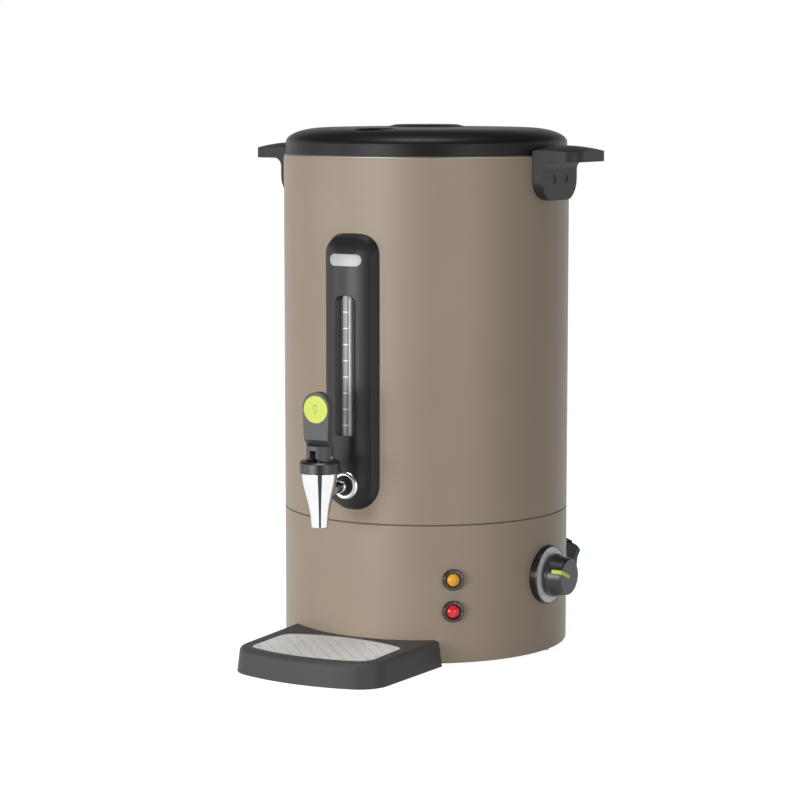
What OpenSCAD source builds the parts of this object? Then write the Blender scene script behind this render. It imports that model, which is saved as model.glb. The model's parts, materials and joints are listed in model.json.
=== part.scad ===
// Counter-top hot water urn: a painted steel casing round a stainless tank, with a lever
// tap, a sight gauge, a thermostat, pilot lamps, a rocker switch and a slide-in drip tray.
// Millimetres. The origin is on the urn's axis at the counter, +Z is up and the tap faces -Y.

/* [Casing] */
// Outside diameter of the casing
casing_d = 276; // [250:1:320]
// Thickness of the painted sheet
sheet_t = 1.2; // [0.8:0.1:2]
// Height of the casing's top edge above the counter
casing_top_z = 475; // [440:1:520]
// Height of the joint between the base band and the casing
joint_z = 134; // [128:1:145]
// Width of the dark line that the joint ring shows
joint_gap = 1.2; // [0.8:0.1:2.5]
// Width of the flange turned in at the casing's top and the band's bottom
flange_w = 9; // [7:0.5:11]
// Gap between the counter and the base band
foot_gap = 3; // [2:0.5:6]

/* [Tank] */
// Air gap between the casing and the tank
air_gap = 12; // [8:0.5:20]
// Thickness of the tank's sheet
tank_t = 0.8; // [0.6:0.1:1.5]
// Height of the tank's inside floor above the counter
tank_floor_z = 150; // [148:0.5:160]
// Radius of the corner between the tank's wall and floor
tank_corner_r = 8; // [4:1:16]

/* [Lid] */
// How far the lid's edge stays inside the casing's edge
lid_inset = 2; // [1:0.5:6]
// Height of the lid's upright edge
lid_edge_h = 10.5; // [7:0.5:14]
// Height of the lid's shoulder above its upright edge
lid_shoulder_h = 14; // [10:0.5:20]
// Width of the lid's shoulder
lid_shoulder_w = 40; // [28:1:50]
// Rise of the lid's crown inside the shoulder
lid_crown_h = 1.5; // [0.5:0.5:4]
// Wall of the lid's shell
lid_wall = 2.5; // [1.5:0.25:3.5]
// Diameter of the raised disc at the lid's centre
lid_disc_d = 74; // [50:1:100]
// Rise of the disc above the crown
lid_disc_h = 1.5; // [0.5:0.5:4]
// Diameter of the steam vent's recess
vent_d = 37.5; // [24:0.5:44]
// Distance of the steam vent from the urn's axis
vent_r = 96; // [90:1:100]
// Depth of the steam vent's recess
vent_depth = 4; // [2:0.5:6]
// Depth of the lid's plug in the tank
plug_h = 14; // [8:1:24]

/* [Column cover] */
// Height of the cover's lower end
cover_bottom_z = 144; // [140:1:148]
// Height of the cover's upper end
cover_top_z = 406; // [396:1:430]
// Width of the cover at the casing
cover_w = 56; // [52:1:64]
// Width of the cover's front face between its rounded edges
cover_face_w = 50; // [46:0.5:51]
// Projection of the front face's centre from the casing
cover_depth = 13.5; // [12.5:0.25:18]
// Rise of the convex front face from its edges to its centre
cover_crown = 7; // [4:0.5:9]
// Wall of the cover
cover_wall = 2; // [1.2:0.1:3]
// Width of the groove that shows the sight tube
groove_w = 24; // [20:0.5:30]
// Length of the badge
badge_w = 34; // [26:0.5:42]
// Height of the badge
badge_h = 11; // [8:0.2:14]
// Distance of the badge's centre below the cover's upper end
badge_drop = 24.8; // [19:0.2:30]
// Thickness of the badge
badge_t = 0.8; // [0.4:0.1:1.5]

/* [Sight gauge] */
// Outside diameter of the sight tube
tube_d = 9.6; // [8:0.1:9.8]
// Wall of the sight tube
tube_wall = 1.4; // [1:0.1:2]
// Height of the groove's lower end
gauge_bottom_z = 217.5; // [210:0.5:230]
// Height of the groove's arched upper end
gauge_top_z = 348; // [330:0.5:352]
// Height of the elbow that lets the tube back into the tank, above the groove's end
elbow_rise = 15; // [14:0.5:17]
// Height of the lowest mark above the groove's lower end
scale_foot = 9.8; // [7:0.1:20]
// Distance of the highest mark below the groove's upper end
scale_head = 15; // [12:0.5:30]
// Number of marks on the scale
scale_marks = 8; // [4:1:12]

/* [Tap] */
// Distance of the tap's axis from the casing
tap_reach = 57; // [50:0.5:70]
// Height of the outlet through the casing
outlet_z = 171; // [168:0.5:176]
// Diameter of the tap's shank
shank_d = 11.6; // [10:0.2:12]
// Outside diameter of the chromed ring on the cover
tap_ring_d = 26.5; // [22:0.5:32]
// Depth of the spout below the outlet
spout_drop = 33; // [24:0.5:40]
// Radius of the spout at its mouth
spout_r = 7.7; // [6.5:0.1:9]
// Radius of the water way through the spout
spout_bore_r = 4.5; // [3:0.1:5.5]
// Outside diameter of the tap's body at its top
tap_head_d = 32.4; // [30:0.2:36]
// Height of the tap's body above the outlet
tap_head_h = 17.7; // [16:0.1:22]
// Diameter of the bonnet
bonnet_d = 38.2; // [34:0.2:44]
// Height of the bonnet above the tap's body
bonnet_h = 10.9; // [9:0.1:14]
// Diameter of the valve stem
stem_d = 6; // [5:0.1:6.2]
// Lift of the valve at the lever's full tilt
valve_lift = 5; // [3:0.25:6]

/* [Tap lever] */
// Full tilt of the lever, forwards
lever_tilt = 45; // [35:1:50]
// Diameter of the lever's round hub
hub_d = 25; // [23:0.5:28]
// Height of the hub above the bonnet
hub_h = 14.4; // [13.5:0.1:18]
// Height of the cross pin above the bonnet
pin_h = 3.8; // [3.6:0.1:4.2]
// Diameter of the cross pin
pin_d = 3; // [2:0.1:3.2]
// Width of the slot in the hub for the stem
hub_slot_w = 6.5; // [6.3:0.1:8]
// Width of the paddle at its rounded top
paddle_w = 28; // [24:0.5:36]
// Thickness of the paddle
paddle_t = 8; // [5:0.5:10]
// Height of the paddle's top above the bonnet
paddle_top_h = 63.9; // [50:0.1:80]
// Diameter of the coloured disc on the paddle
disc_d = 25.6; // [18:0.2:26]

/* [Handles] */
// Width of the handle
handle_w = 70; // [56:1:80]
// Projection of the bracket from the casing
bracket_depth = 7.2; // [6:0.2:14]
// Depth of the bracket below the grip plate
bracket_drop = 36.5; // [32:0.5:50]
// Radius of the bracket's lower corners
bracket_corner_r = 20; // [10:1:24]
// Projection of the grip plate from the casing
grip_depth = 42; // [34:0.5:56]
// Thickness of the grip plate at its edge
grip_t = 9.5; // [7:0.5:13]
// Rise of the grip's domed top above its edge
grip_crown = 5.5; // [3:0.5:7]
// Height of the grip plate's underside above the counter
grip_z = 470.5; // [460:0.5:474]
// Distance between the two screws of a handle
handle_screw_pitch = 24; // [16:0.5:30]

/* [Controls] */
// Angle of the pilot lamps from the tap
lamp_angle = 40.5; // [36:0.5:46]
// Diameter of the pilot lamps' bezels
lamp_bezel_d = 20; // [16:0.5:22]
// Height of the amber lamp
amber_z = 82.8; // [80:0.2:90]
// Height of the red lamp
red_z = 52.7; // [46:0.2:56]
// Angle of the thermostat from the tap
dial_angle = 87; // [84:0.5:90]
// Height of the thermostat's axis
dial_z = 76.8; // [70:0.2:84]
// Diameter of the thermostat's bezel
bezel_d = 56.4; // [52:0.2:64]
// Diameter of the knob at its skirt
knob_d = 41.6; // [36:0.2:46]
// Projection of the knob's face from the casing
knob_reach = 25; // [22:0.5:34]
// Width of the knob's pointer
pointer_w = 3.5; // [2:0.1:5]
// Angle of the pointer above the level, with the knob turned back
pointer_angle = 22; // [0:1:40]
// Angle of the rocker switch from the tap
switch_angle = 134; // [128:0.5:140]
// Height of the rocker switch's centre
switch_z = 76.5; // [70:0.5:84]
// Width of the switch's frame
switch_w = 24; // [22:0.5:28]
// Height of the switch's frame
switch_h = 31; // [30.5:0.5:36]
// Travel of the rocker in degrees
rocker_travel = 27; // [20:1:27]

/* [Drip tray] */
// Half width of the tray
tray_half_w = 79.5; // [76:0.5:90]
// Half width of the tray where its sides meet the casing
tray_back_half_w = 82; // [80:0.5:92]
// Distance of the tray's front from the casing
tray_reach = 105; // [96:0.5:116]
// Radius of the tray's front corners
tray_corner_r = 30; // [24:1:36]
// Radius of the tray's curved front edge
tray_front_r = 200; // [180:5:400]
// Height of the tray's front edge
tray_h = 23; // [20:0.5:28]
// Slope of the tray's top towards the front, in degrees
tray_slope = 1.2; // [0.5:0.1:3]
// Width of the rim round the grid
tray_rim_w = 14; // [12:0.5:20]
// Thickness of the perforated grid
grid_t = 1.2; // [0.8:0.1:2]
// Depth of the grid below the tray's rim
grid_sink = 0.8; // [0:0.1:2]
// Radius of the grid's curved rear edge
grid_back_r = 165; // [150:5:300]
// Radius of the grid's rear corners
grid_corner_r = 14; // [8:1:20]
// Distance between the rows of the grid's holes
grid_pitch = 7.4; // [6.5:0.1:12]
// Diameter of the grid's holes
grid_hole_d = 3.4; // [2:0.1:4.5]

/* [Base] */
// Outside diameter of the rubber foot ring
foot_ring_d = 236; // [200:1:244]
// Width of the foot ring
foot_ring_w = 14; // [8:1:20]
// Height of the cable gland above the counter
gland_z = 34; // [30:0.5:44]
// Diameter of the cable gland's bore
gland_bore_d = 8; // [6:0.2:9]

/* [Hidden] */
$fn = 72;

// Clearance between curved faces of different pieces
fit = 0.3;
// Running clearance of a shaft in its bore
run = 0.05;
// Longer than anything that it cuts through
beyond = 800;
casing_r = casing_d / 2;
casing_in_r = casing_r - sheet_t;
tank_r = casing_in_r - air_gap - tank_t;
tank_out_r = tank_r + tank_t;
band_top_z = joint_z - joint_gap / 2;
casing_bottom_z = joint_z + joint_gap / 2;
rim_z = casing_top_z + tank_t;
gasket_t = 0.8;
lid_z = rim_z + gasket_t;
lid_r = casing_r - lid_inset;
elbow_z = gauge_top_z + elbow_rise;
badge_z = cover_top_z - badge_drop;

// How far out the inside of the casing is, s to the side of a feature's own direction
function inside_r(s) = sqrt(casing_in_r * casing_in_r - s * s);
// A point of the cubic curve through four control points
function curve_point(p, t) =
    pow(1 - t, 3) * p[0] + 3 * t * pow(1 - t, 2) * p[1] + 3 * t * t * (1 - t) * p[2]
    + pow(t, 3) * p[3];
function curve(p, steps) = [for (i = [0:steps]) curve_point(p, i / steps)];

// Turns what faces -Y to another direction, counted from the tap towards +X
module facing(angle, z = 0) translate([0, 0, z]) rotate([0, 0, angle]) children();
// A round bar along the outward direction, from one distance to another
module bar(r, from, to) translate([0, -from, 0]) rotate([90, 0, 0]) cylinder(r = r, h = to - from);
// Turns a profile of (radius, distance from the urn's axis) about the outward direction
module turned() rotate([90, 0, 0]) rotate_extrude() children();
// A ring about the vertical axis
module ring(r_out, r_in, h) difference() {
    cylinder(r = r_out, h = h);
    translate([0, 0, -1]) cylinder(r = r_in, h = h + 2);
}
// The space inside the casing's outside face, plus a clearance
module casing_space(gap) cylinder(r = casing_r + gap, h = 2 * beyond, center = true, $fn = 360);
// A box centred on X, from one distance to another, centred on z
module block(w, from, to, h) translate([-w / 2, -to, -h / 2]) cube([w, to - from, h]);

// ---------------------------------------------------------------- casing and tank
module outlet_holes() {
    translate([0, 0, outlet_z]) bar(tee_r + fit, 80, casing_r + 20);
    translate([0, 0, elbow_z]) bar(elbow_r + fit, 80, casing_r + 20);
}

module outer_casing() color("#9b8f82") difference() {
    union() {
        translate([0, 0, casing_bottom_z])
            ring(casing_r, casing_in_r, casing_top_z - casing_bottom_z);
        translate([0, 0, casing_top_z - sheet_t]) ring(casing_r, casing_r - flange_w, sheet_t);
    }
    outlet_holes();
    for (side = [-90, 90]) facing(side) handle_screw_places() bar(handle_screw_r + run, 100, casing_r + 5);
}

// The joint ring laps both shells from inside, and its lip shows between them
ring_lap = 9;
ring_t = 2;
ring_lip_inset = 0.6;
module joint_ring() color("#2c2b29") rotate_extrude() {
    skirt_r = casing_in_r - fit;
    translate([skirt_r - ring_t, joint_z - ring_lap]) square([ring_t, 2 * ring_lap]);
    translate([skirt_r - ring_t / 2, band_top_z])
        square([casing_r - ring_lip_inset - skirt_r + ring_t / 2, joint_gap]);
}

module water_tank() color("#c9ccce") difference() {
    rotate_extrude() {
        difference() {
            tank_profile(tank_out_r, tank_floor_z - tank_t, tank_corner_r + tank_t);
            tank_profile(tank_r, tank_floor_z, tank_corner_r);
        }
        translate([tank_r, rim_z - tank_t]) square([casing_r - 1 - tank_r, tank_t]);
    }
    outlet_holes();
}
module tank_profile(r, floor_z, corner_r) difference() {
    translate([0, floor_z]) square([r, rim_z - floor_z]);
    translate([r - corner_r, floor_z]) difference() {
        square([corner_r + 1, corner_r]);
        translate([0, corner_r]) circle(r = corner_r);
    }
}

module tank_rim_gasket() color("#3a3a3a") translate([0, 0, rim_z])
    ring(casing_r - 1.5, tank_r + 1, gasket_t);

// ---------------------------------------------------------------- lid
lid_edge_z = lid_z + lid_edge_h;
lid_top_z = lid_edge_z + lid_shoulder_h;
lid_crown_z = lid_top_z + lid_crown_h;
// The lid's outline from the axis to its lower edge, moved inwards by a wall
function lid_outline(wall) = concat(
    [[0, lid_crown_z - wall]],
    curve([[lid_r - lid_shoulder_w, lid_top_z - wall], [lid_r - lid_shoulder_w * 0.42, lid_top_z - wall],
        [lid_r - wall, lid_top_z - lid_shoulder_h * 0.45 - wall * 0.5], [lid_r - wall, lid_edge_z]], 12),
    [[lid_r - wall, lid_z], [0, lid_z]]);
vent_floor_z = lid_top_z - vent_depth;

module lid() color("#1d1d1e") difference() {
    union() {
        difference() {
            rotate_extrude() polygon(lid_outline(0));
            difference() {
                rotate_extrude() polygon([for (p = lid_outline(lid_wall))
                    [p[0], p[1] - (p[1] > lid_z ? 0 : 1)]]);
                translate([0, -vent_r, vent_floor_z - lid_wall]) cylinder(d = vent_d + 2 * lid_wall, h = 60);
            }
        }
        translate([0, 0, lid_crown_z - lid_wall]) cylinder(d = lid_disc_d, h = lid_wall + lid_disc_h);
    }
    translate([0, -vent_r, vent_floor_z]) {
        cylinder(d = vent_d, h = 60);
        for (i = [0:5]) rotate([0, 0, 60 * i]) translate([vent_d * 0.28, 0, -20]) cylinder(r = 1.6, h = 40);
    }
}

liner_t = 1;
module lid_liner() color("#b9bcbe") difference() {
    union() {
        translate([0, 0, lid_z - plug_h]) cylinder(r = tank_r - fit, h = plug_h + 3);
        translate([0, 0, lid_z]) cylinder(r = lid_r - lid_wall - fit, h = 3);
    }
    translate([0, 0, lid_z - plug_h + liner_t]) cylinder(r = tank_r - fit - liner_t, h = plug_h + 3);
    translate([0, -vent_r, lid_z - plug_h - 1]) cylinder(d = vent_d * 0.8, h = 10);
}

// ---------------------------------------------------------------- base
plate_z = foot_gap + sheet_t;
plate_t = 1.2;
plate_r = casing_in_r - fit;
base_screw_r = 2;
base_screw_head_h = 1.6;
base_screw_l = 7;
// Cooling slots on each side of the middle one
slots = 3;
slot_pitch = 12;
slot_w = 4;
slot_l = 30;
slot_r = 32;
module base_screw_places() for (i = [0:5]) rotate([0, 0, 30 + 60 * i])
    translate([0, casing_r - flange_w * 0.55, 0]) children();

module base_band() color("#9b8f82") difference() {
    union() {
        translate([0, 0, foot_gap]) ring(casing_r, casing_in_r, band_top_z - foot_gap);
        translate([0, 0, foot_gap]) ring(casing_r, casing_r - flange_w, sheet_t);
    }
    base_screw_places() translate([0, 0, -1]) cylinder(r = base_screw_r + run, h = 20);
    for (z = [amber_z, red_z]) facing(lamp_angle, z) bar(lamp_barrel_r + 0.1, 100, casing_r + 5);
    facing(dial_angle, dial_z) {
        bar(shaft_r + 1, 100, casing_r + 5);
        thermostat_screw_places() bar(thermostat_screw_r + run, 100, casing_r + 5);
    }
    facing(switch_angle, switch_z) block(switch_body_w + 0.2, 100, casing_r + 5, switch_body_h + 0.2);
    facing(180, gland_z) bar(gland_r + 0.1, 100, casing_r + 5);
}

module base_plate() color("#a9aaa8") difference() {
    translate([0, 0, plate_z]) cylinder(r = plate_r, h = plate_t);
    base_screw_places() translate([0, 0, -1]) cylinder(r = base_screw_r + run, h = 20);
    translate(cutout_place) translate([0, 0, -1]) cylinder(r = reset_r + 0.5, h = 20);
    for (i = [-slots:slots]) translate([i * slot_pitch - slot_w / 2, -slot_r - slot_l, 0])
        cube([slot_w, slot_l, plate_z + 2 * plate_t]);
}

module base_screws() color("#8d8f91") base_screw_places() {
    translate([0, 0, foot_gap - base_screw_head_h]) cylinder(r = base_screw_r * 1.7, h = base_screw_head_h);
    translate([0, 0, foot_gap]) cylinder(r = base_screw_r, h = base_screw_l);
}

module foot_ring() color("#262626") ring(foot_ring_d / 2, foot_ring_d / 2 - foot_ring_w, plate_z);

// ---------------------------------------------------------------- heater
heater_r = 68;
heater_t = 6;
element_r = 4;
element_turn_r = 50;
stud_r = 3;
heater_top_z = tank_floor_z - tank_t;
heater_bottom_z = heater_top_z - heater_t;
element_z = heater_bottom_z - element_r - 0.1;
clamp_z = element_z - element_r - 0.1;
clamp_t = 1.6;
terminal_angle = 15;
terminal_drop = 22;
module element_terminals() for (side = [-1, 1]) rotate([0, 0, side * terminal_angle])
    translate([0, element_turn_r, 0]) children();

module heater_plate() color("#b4b6b8") difference() {
    translate([0, 0, heater_bottom_z]) cylinder(r = heater_r, h = heater_t);
    translate([0, 0, heater_bottom_z - 1]) cylinder(r = stud_r + run, h = heater_t + 2);
}

module heating_element() color("#8a8c8e") {
    translate([0, 0, element_z]) rotate([0, 0, 90 + terminal_angle])
        rotate_extrude(angle = 360 - 2 * terminal_angle) translate([element_turn_r, 0]) circle(r = element_r);
    element_terminals() translate([0, 0, element_z - 14]) cylinder(r = element_r * 0.9, h = 14);
    element_terminals() translate([0, 0, element_z - terminal_drop]) cylinder(r = 1.5, h = 9);
}

module heater_clamp() color("#9fa1a3") difference() {
    translate([0, 0, clamp_z - clamp_t]) cylinder(r = element_turn_r + element_r * 2, h = clamp_t);
    translate([0, 0, clamp_z - clamp_t - 1]) cylinder(r = stud_r + run, h = clamp_t + 2);
    element_terminals() translate([0, 0, clamp_z - clamp_t - 1])
        cylinder(r = element_r + fit, h = clamp_t + 2);
}

// The stud is welded to the tank's floor, and its nut draws the clamp up to the element
module heater_nut() color("#8d8f91") {
    translate([0, 0, clamp_z - clamp_t - 8]) cylinder(r = stud_r, h = heater_top_z - clamp_z + clamp_t + 8);
    translate([0, 0, clamp_z - clamp_t - 5]) difference() {
        cylinder(r = stud_r * 1.9, h = 5, $fn = 6);
        translate([0, 0, -1]) cylinder(r = stud_r, h = 7);
    }
}

// ---------------------------------------------------------------- thermostat
shaft_r = 3;
thermostat_w = 36;
thermostat_h = 34;
thermostat_screw_r = 1.7;
thermostat_screw_pitch = 28;
bezel_floor = casing_r + 4;
bezel_rim = bezel_floor + 0.9;
bezel_lip = 1.2;
bezel_edge = 1.2;
dial_plate_t = 0.6;
knob_back = bezel_floor + dial_plate_t + 0.4;
knob_face = casing_r + knob_reach;
knob_face_r = knob_d / 2 - 3.3;
thermostat_front = inside_r(thermostat_w / 2) - fit;
thermostat_deep = 24;
module thermostat_screw_places() for (s = [-1, 1])
    translate([s * thermostat_screw_pitch / 2, 0, 0]) children();

module thermostat_body() color("#d8d4c8") facing(dial_angle, dial_z) difference() {
    union() {
        block(thermostat_w, thermostat_front - 1.5, thermostat_front, thermostat_h);
        block(thermostat_w - 4, thermostat_front - thermostat_deep, thermostat_front - 1.5, thermostat_h - 4);
        bar(shaft_r + 2.5, thermostat_front, casing_in_r - fit);
    }
    bar(shaft_r + run, thermostat_front - thermostat_deep + 8, casing_r);
    thermostat_screw_places() bar(thermostat_screw_r, thermostat_front - 8, casing_r);
}

module thermostat_screws() color("#8d8f91") facing(dial_angle, dial_z) thermostat_screw_places() {
    bar(thermostat_screw_r, thermostat_front - 7.5, bezel_floor - 1.5);
    bar(thermostat_screw_r * 1.8, bezel_floor - 1.5, bezel_floor - 0.1);
}

module dial_bezel() color("#232323") facing(dial_angle, dial_z) difference() {
    turned() polygon([[0, casing_r - 8], [bezel_d / 2, casing_r - 8], [bezel_d / 2, bezel_floor - 0.6],
        [bezel_d / 2 - bezel_edge, bezel_rim], [bezel_d / 2 - bezel_edge - bezel_lip, bezel_rim],
        [bezel_d / 2 - bezel_edge - bezel_lip, bezel_floor], [0, bezel_floor]]);
    facing(-dial_angle, -dial_z) casing_space(0);
    bar(shaft_r + 1, casing_r - 20, casing_r + 20);
    thermostat_screw_places() {
        bar(thermostat_screw_r + run, casing_r - 20, casing_r + 20);
        bar(thermostat_screw_r * 1.8 + run, bezel_floor - 1.5, bezel_floor + 5);
    }
}

module dial_plate() color("#d9dada") facing(dial_angle, dial_z) difference() {
    bar(bezel_d / 2 - bezel_edge - bezel_lip - run, bezel_floor, bezel_floor + dial_plate_t);
    bar(shaft_r + 1.5, bezel_floor - 1, bezel_floor + 5);
}

// A flat on the shaft drives the knob
module shaft_section(gap) difference() {
    circle(r = shaft_r + gap);
    translate([shaft_r - 1.2 + gap, -10]) square(20);
}
module thermostat_shaft() color("#a9abad") facing(dial_angle, dial_z) {
    bar(shaft_r, thermostat_front - thermostat_deep + 8.2, knob_back + 3);
    translate([0, -knob_back - 2.9, 0]) rotate([90, 0, 0]) linear_extrude(knob_face - knob_back - 9)
        shaft_section(0);
}

knob_skirt_h = 2.5;
knob_edge_r = 1.5;
// The knob's outline, moved inwards by an amount: a skirt, a slim taper and a rounded face edge
module knob_outline(inwards) {
    side_r = knob_face_r - inwards;
    face = knob_face - inwards;
    translate([0, knob_back]) square([knob_d / 2 - inwards, knob_skirt_h]);
    polygon([[0, knob_back], [knob_d / 2 - 1 - inwards, knob_back + knob_skirt_h],
        [side_r, face - knob_edge_r], [side_r - knob_edge_r, face], [0, face]]);
    translate([side_r - knob_edge_r, face - knob_edge_r]) circle(r = knob_edge_r);
}
pointer_t = 0.8;
// The pointer lies in the knob's face and runs down its side, towards the tap
module pointer_shape() intersection() {
    difference() {
        turned() knob_outline(0);
        turned() knob_outline(pointer_t);
    }
    rotate([0, pointer_angle, 0]) translate([-knob_d, -knob_face - 1, -pointer_w / 2])
        cube([knob_d, knob_reach - knob_skirt_h - 8, pointer_w]);
}
module thermostat_knob() color("#262627") facing(dial_angle, dial_z) difference() {
    turned() knob_outline(0);
    pointer_shape();
    translate([0, -knob_back + 1, 0]) rotate([90, 0, 0]) linear_extrude(5) circle(r = shaft_r + run);
    translate([0, -knob_back - 2, 0]) rotate([90, 0, 0]) linear_extrude(knob_face - knob_back - 7)
        shaft_section(run);
}
module knob_pointer() color("#e6f04a") facing(dial_angle, dial_z) pointer_shape();

// The sensor's bulb lies under the tank's floor, beside the heater, and its capillary
// runs back to the thermostat
bulb_r = 3;
bulb_l = 60;
bulb_place = [88, 0, heater_top_z - bulb_r - fit];
// A round wire along straight runs, each a little longer than its stretch so that they join
module wire(points, r) for (i = [0:len(points) - 2]) {
    way = points[i + 1] - points[i];
    flat = norm([way[0], way[1]]);
    extra = 0.6 * r;
    translate(points[i]) rotate([0, atan2(flat, way[2]), atan2(way[1], way[0])])
        translate([0, 0, -extra]) cylinder(r = r, h = norm(way) + 2 * extra, $fn = 10);
}
module thermostat_sensor() color("#b06f4a") {
    back = thermostat_front - thermostat_deep;
    translate(bulb_place) rotate([90, 0, 0]) cylinder(r = bulb_r, h = bulb_l, center = true);
    wire([bulb_place + [0, bulb_l / 2 - 1, 0], bulb_place + [0, 40, 0], bulb_place + [-2, 46, -14],
        bulb_place + [0, 30, -50], [back - 8, 12, dial_z + 8], [back, 0, dial_z + 8]], 1);
}

// ---------------------------------------------------------------- boil-dry cut-out
cutout_place = [-30, 55, 0];
reset_r = 4;
cutout_z = plate_z + plate_t;
module boil_dry_cutout() color("#d8d4c8") translate(cutout_place) difference() {
    translate([-16, -12, cutout_z]) cube([32, 24, 22]);
    translate([0, 0, cutout_z - 1]) cylinder(r = reset_r + run, h = 14);
}
module reset_button() color("#c02a22") translate(cutout_place)
    translate([0, 0, foot_gap - 1]) cylinder(r = reset_r, h = cutout_z + 10 - foot_gap);

// ---------------------------------------------------------------- terminals and wiring
block_size = [44, 20, 16];
block_place = [0, 96, cutout_z];
block_pitch = 13;
block_hole_depth = 6;
module terminal_block() color("#e8e6df") translate(block_place) difference() {
    translate([-block_size[0] / 2, -block_size[1] / 2, 0]) cube(block_size);
    for (i = [-1:1]) translate([i * block_pitch, 0, block_size[2] - block_hole_depth])
        cylinder(r = 3, h = 10);
}
wire_r = 1.3;
wire_rise = 30;
wire_bend = [15, 74, 70];
wire_end = 8;
module wiring() color("#5a3b28") {
    clamp_floor = block_size[2] - block_hole_depth + wire_r;
    for (i = [-1, 1]) {
        tip = [i * element_turn_r * sin(terminal_angle), element_turn_r * cos(terminal_angle),
            element_z - terminal_drop - wire_r];
        wire([block_place + [i * block_pitch, 0, clamp_floor], block_place + [i * block_pitch, 0, wire_rise],
            [i * wire_bend[0], wire_bend[1], wire_bend[2]], tip - [0, 0, wire_end], tip], wire_r);
    }
    wire([block_place + [0, 0, clamp_floor], block_place + [0, 3, 24], block_place + [0, 14, 22],
        block_place + [0, 20, 10], block_place + [0, 20, wire_r]], wire_r);
}

// ---------------------------------------------------------------- pilot lamps
lamp_barrel_r = 6.5;
lamp_wall = 1.6;
lamp_front = casing_r + 4.2;
lamp_depth = 24;
lens_r = 6;
module lamp_bezels() color("#2a2927") for (z = [amber_z, red_z]) facing(lamp_angle, z) {
    difference() {
        union() {
            difference() {
                turned() polygon([[0, casing_r - 3], [lamp_bezel_d / 2, casing_r - 3],
                    [lamp_bezel_d / 2, lamp_front - 0.8], [lamp_bezel_d / 2 - 0.8, lamp_front],
                    [lamp_bezel_d / 2 - lamp_wall, lamp_front], [lens_r + 0.4, lamp_front - 2.5],
                    [0, lamp_front - 2.5]]);
                facing(-lamp_angle, -z) casing_space(0);
            }
            bar(lamp_barrel_r, casing_r - lamp_depth, casing_r + 1.5);
        }
        bar(lens_r + 0.05, casing_r - lamp_depth + 2, lamp_front + 1);
    }
    // spring clips behind the band
    for (s = [-1, 1]) translate([s * (lamp_barrel_r + 0.9), 0, 0])
        block(2, casing_r - 14, inside_r(lamp_barrel_r + 2) - fit, 5);
}
module lamp_lens(z) facing(lamp_angle, z) {
    bar(lens_r, casing_r - lamp_depth + 2.2, lamp_front - 1.5);
    turned() intersection() {
        translate([0, lamp_front - 1.5]) square([lens_r, 8]);
        translate([0, lamp_front - 1.5 - 5]) circle(r = sqrt(lens_r * lens_r + 25));
    }
}
module amber_lens() color("#f0a81e") lamp_lens(amber_z);
module red_lens() color("#d41420") lamp_lens(red_z);

// ---------------------------------------------------------------- rocker switch
rocker_w = 15.4;
rocker_swing_r = 13.1;
switch_proud = 9;
switch_body_w = switch_w - 3;
switch_body_h = 2 * rocker_swing_r + 2.6;
pivot = casing_r + 6.5;
pivot_pin_r = 1.5;
switch_back = casing_r - 20;
module switch_frame() color("#222222") facing(switch_angle, switch_z) difference() {
    union() {
        difference() {
            block(switch_w, casing_r - 3, casing_r + switch_proud, switch_h);
            facing(-switch_angle, -switch_z) casing_space(0);
        }
        block(switch_body_w, switch_back, casing_r + 2, switch_body_h);
    }
    block(rocker_w + 0.4, switch_back + 2, casing_r + 20, 2 * rocker_swing_r + 0.2);
    translate([0, -pivot, 0]) rotate([0, 90, 0]) translate([0, 0, -rocker_w / 2 - 1.7])
        cylinder(r = pivot_pin_r + run, h = rocker_w + 3.4);
}
// At rest the lower end is pressed in, level with the frame, and the upper end stands out
module switch_rocker() color("#0f5a3c") facing(switch_angle, switch_z) translate([0, -pivot, 0])
    rotate([90, 0, 90]) {
        valley = 9.5;
        vee = 8.8;
        translate([0, 0, -rocker_w / 2]) linear_extrude(rocker_w) rotate(rocker_travel / 2) intersection() {
            circle(r = rocker_swing_r);
            union() for (side = [-1, 1])
                polygon([[4, 0], [4, side * 20], [-valley - 20 * tan(vee), side * 20], [-valley, 0]]);
        }
        translate([0, 0, -rocker_w / 2 - 1.5]) cylinder(r = pivot_pin_r, h = rocker_w + 3);
    }
module switch_terminals() color("#c8a456") facing(switch_angle, switch_z)
    for (s = [-1, 1], v = [-1, 1]) translate([s * 5.5, 0, v * 7])
        block(0.8, switch_back - 9, switch_back, 6.3);

// ---------------------------------------------------------------- cable gland
gland_r = 8;
module cable_gland() color("#1f1f1f") facing(180, gland_z) difference() {
    union() {
        difference() {
            turned() {
                translate([0, casing_r - 3]) square([11, 6.5]);
                polygon([[0, casing_r], [9, casing_r + 3.5], [7, casing_r + 12], [0, casing_r + 12]]);
            }
            facing(-180, -gland_z) casing_space(0);
        }
        bar(gland_r, casing_r - 14, casing_r + 1);
    }
    bar(gland_bore_d / 2, casing_r - 20, casing_r + 20);
}
module cable_gland_nut() color("#1f1f1f") facing(180, gland_z) difference() {
    seat = inside_r(11) - 0.2;
    translate([0, -seat + 6, 0]) rotate([90, 0, 0]) cylinder(r = 11, h = 6, $fn = 6);
    bar(gland_r + run, casing_r - 30, casing_r + 5);
}

// ---------------------------------------------------------------- handles
handle_screw_r = 2;
handle_screw_z = grip_z - 16.5;
handle_fillet_r = 8;
bracket_y = casing_r + bracket_depth;
grip_corner_r = 16;
module handle_screw_places() for (s = [-1, 1])
    translate([s * handle_screw_pitch / 2, 0, handle_screw_z]) children();
module rounded(w, h, r) {
    translate([-w / 2 + r, 0]) square([w - 2 * r, h]);
    translate([-w / 2, 0]) square([w, h - r]);
    for (s = [-1, 1]) translate([s * (w / 2 - r), h - r]) circle(r = r);
}
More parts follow.
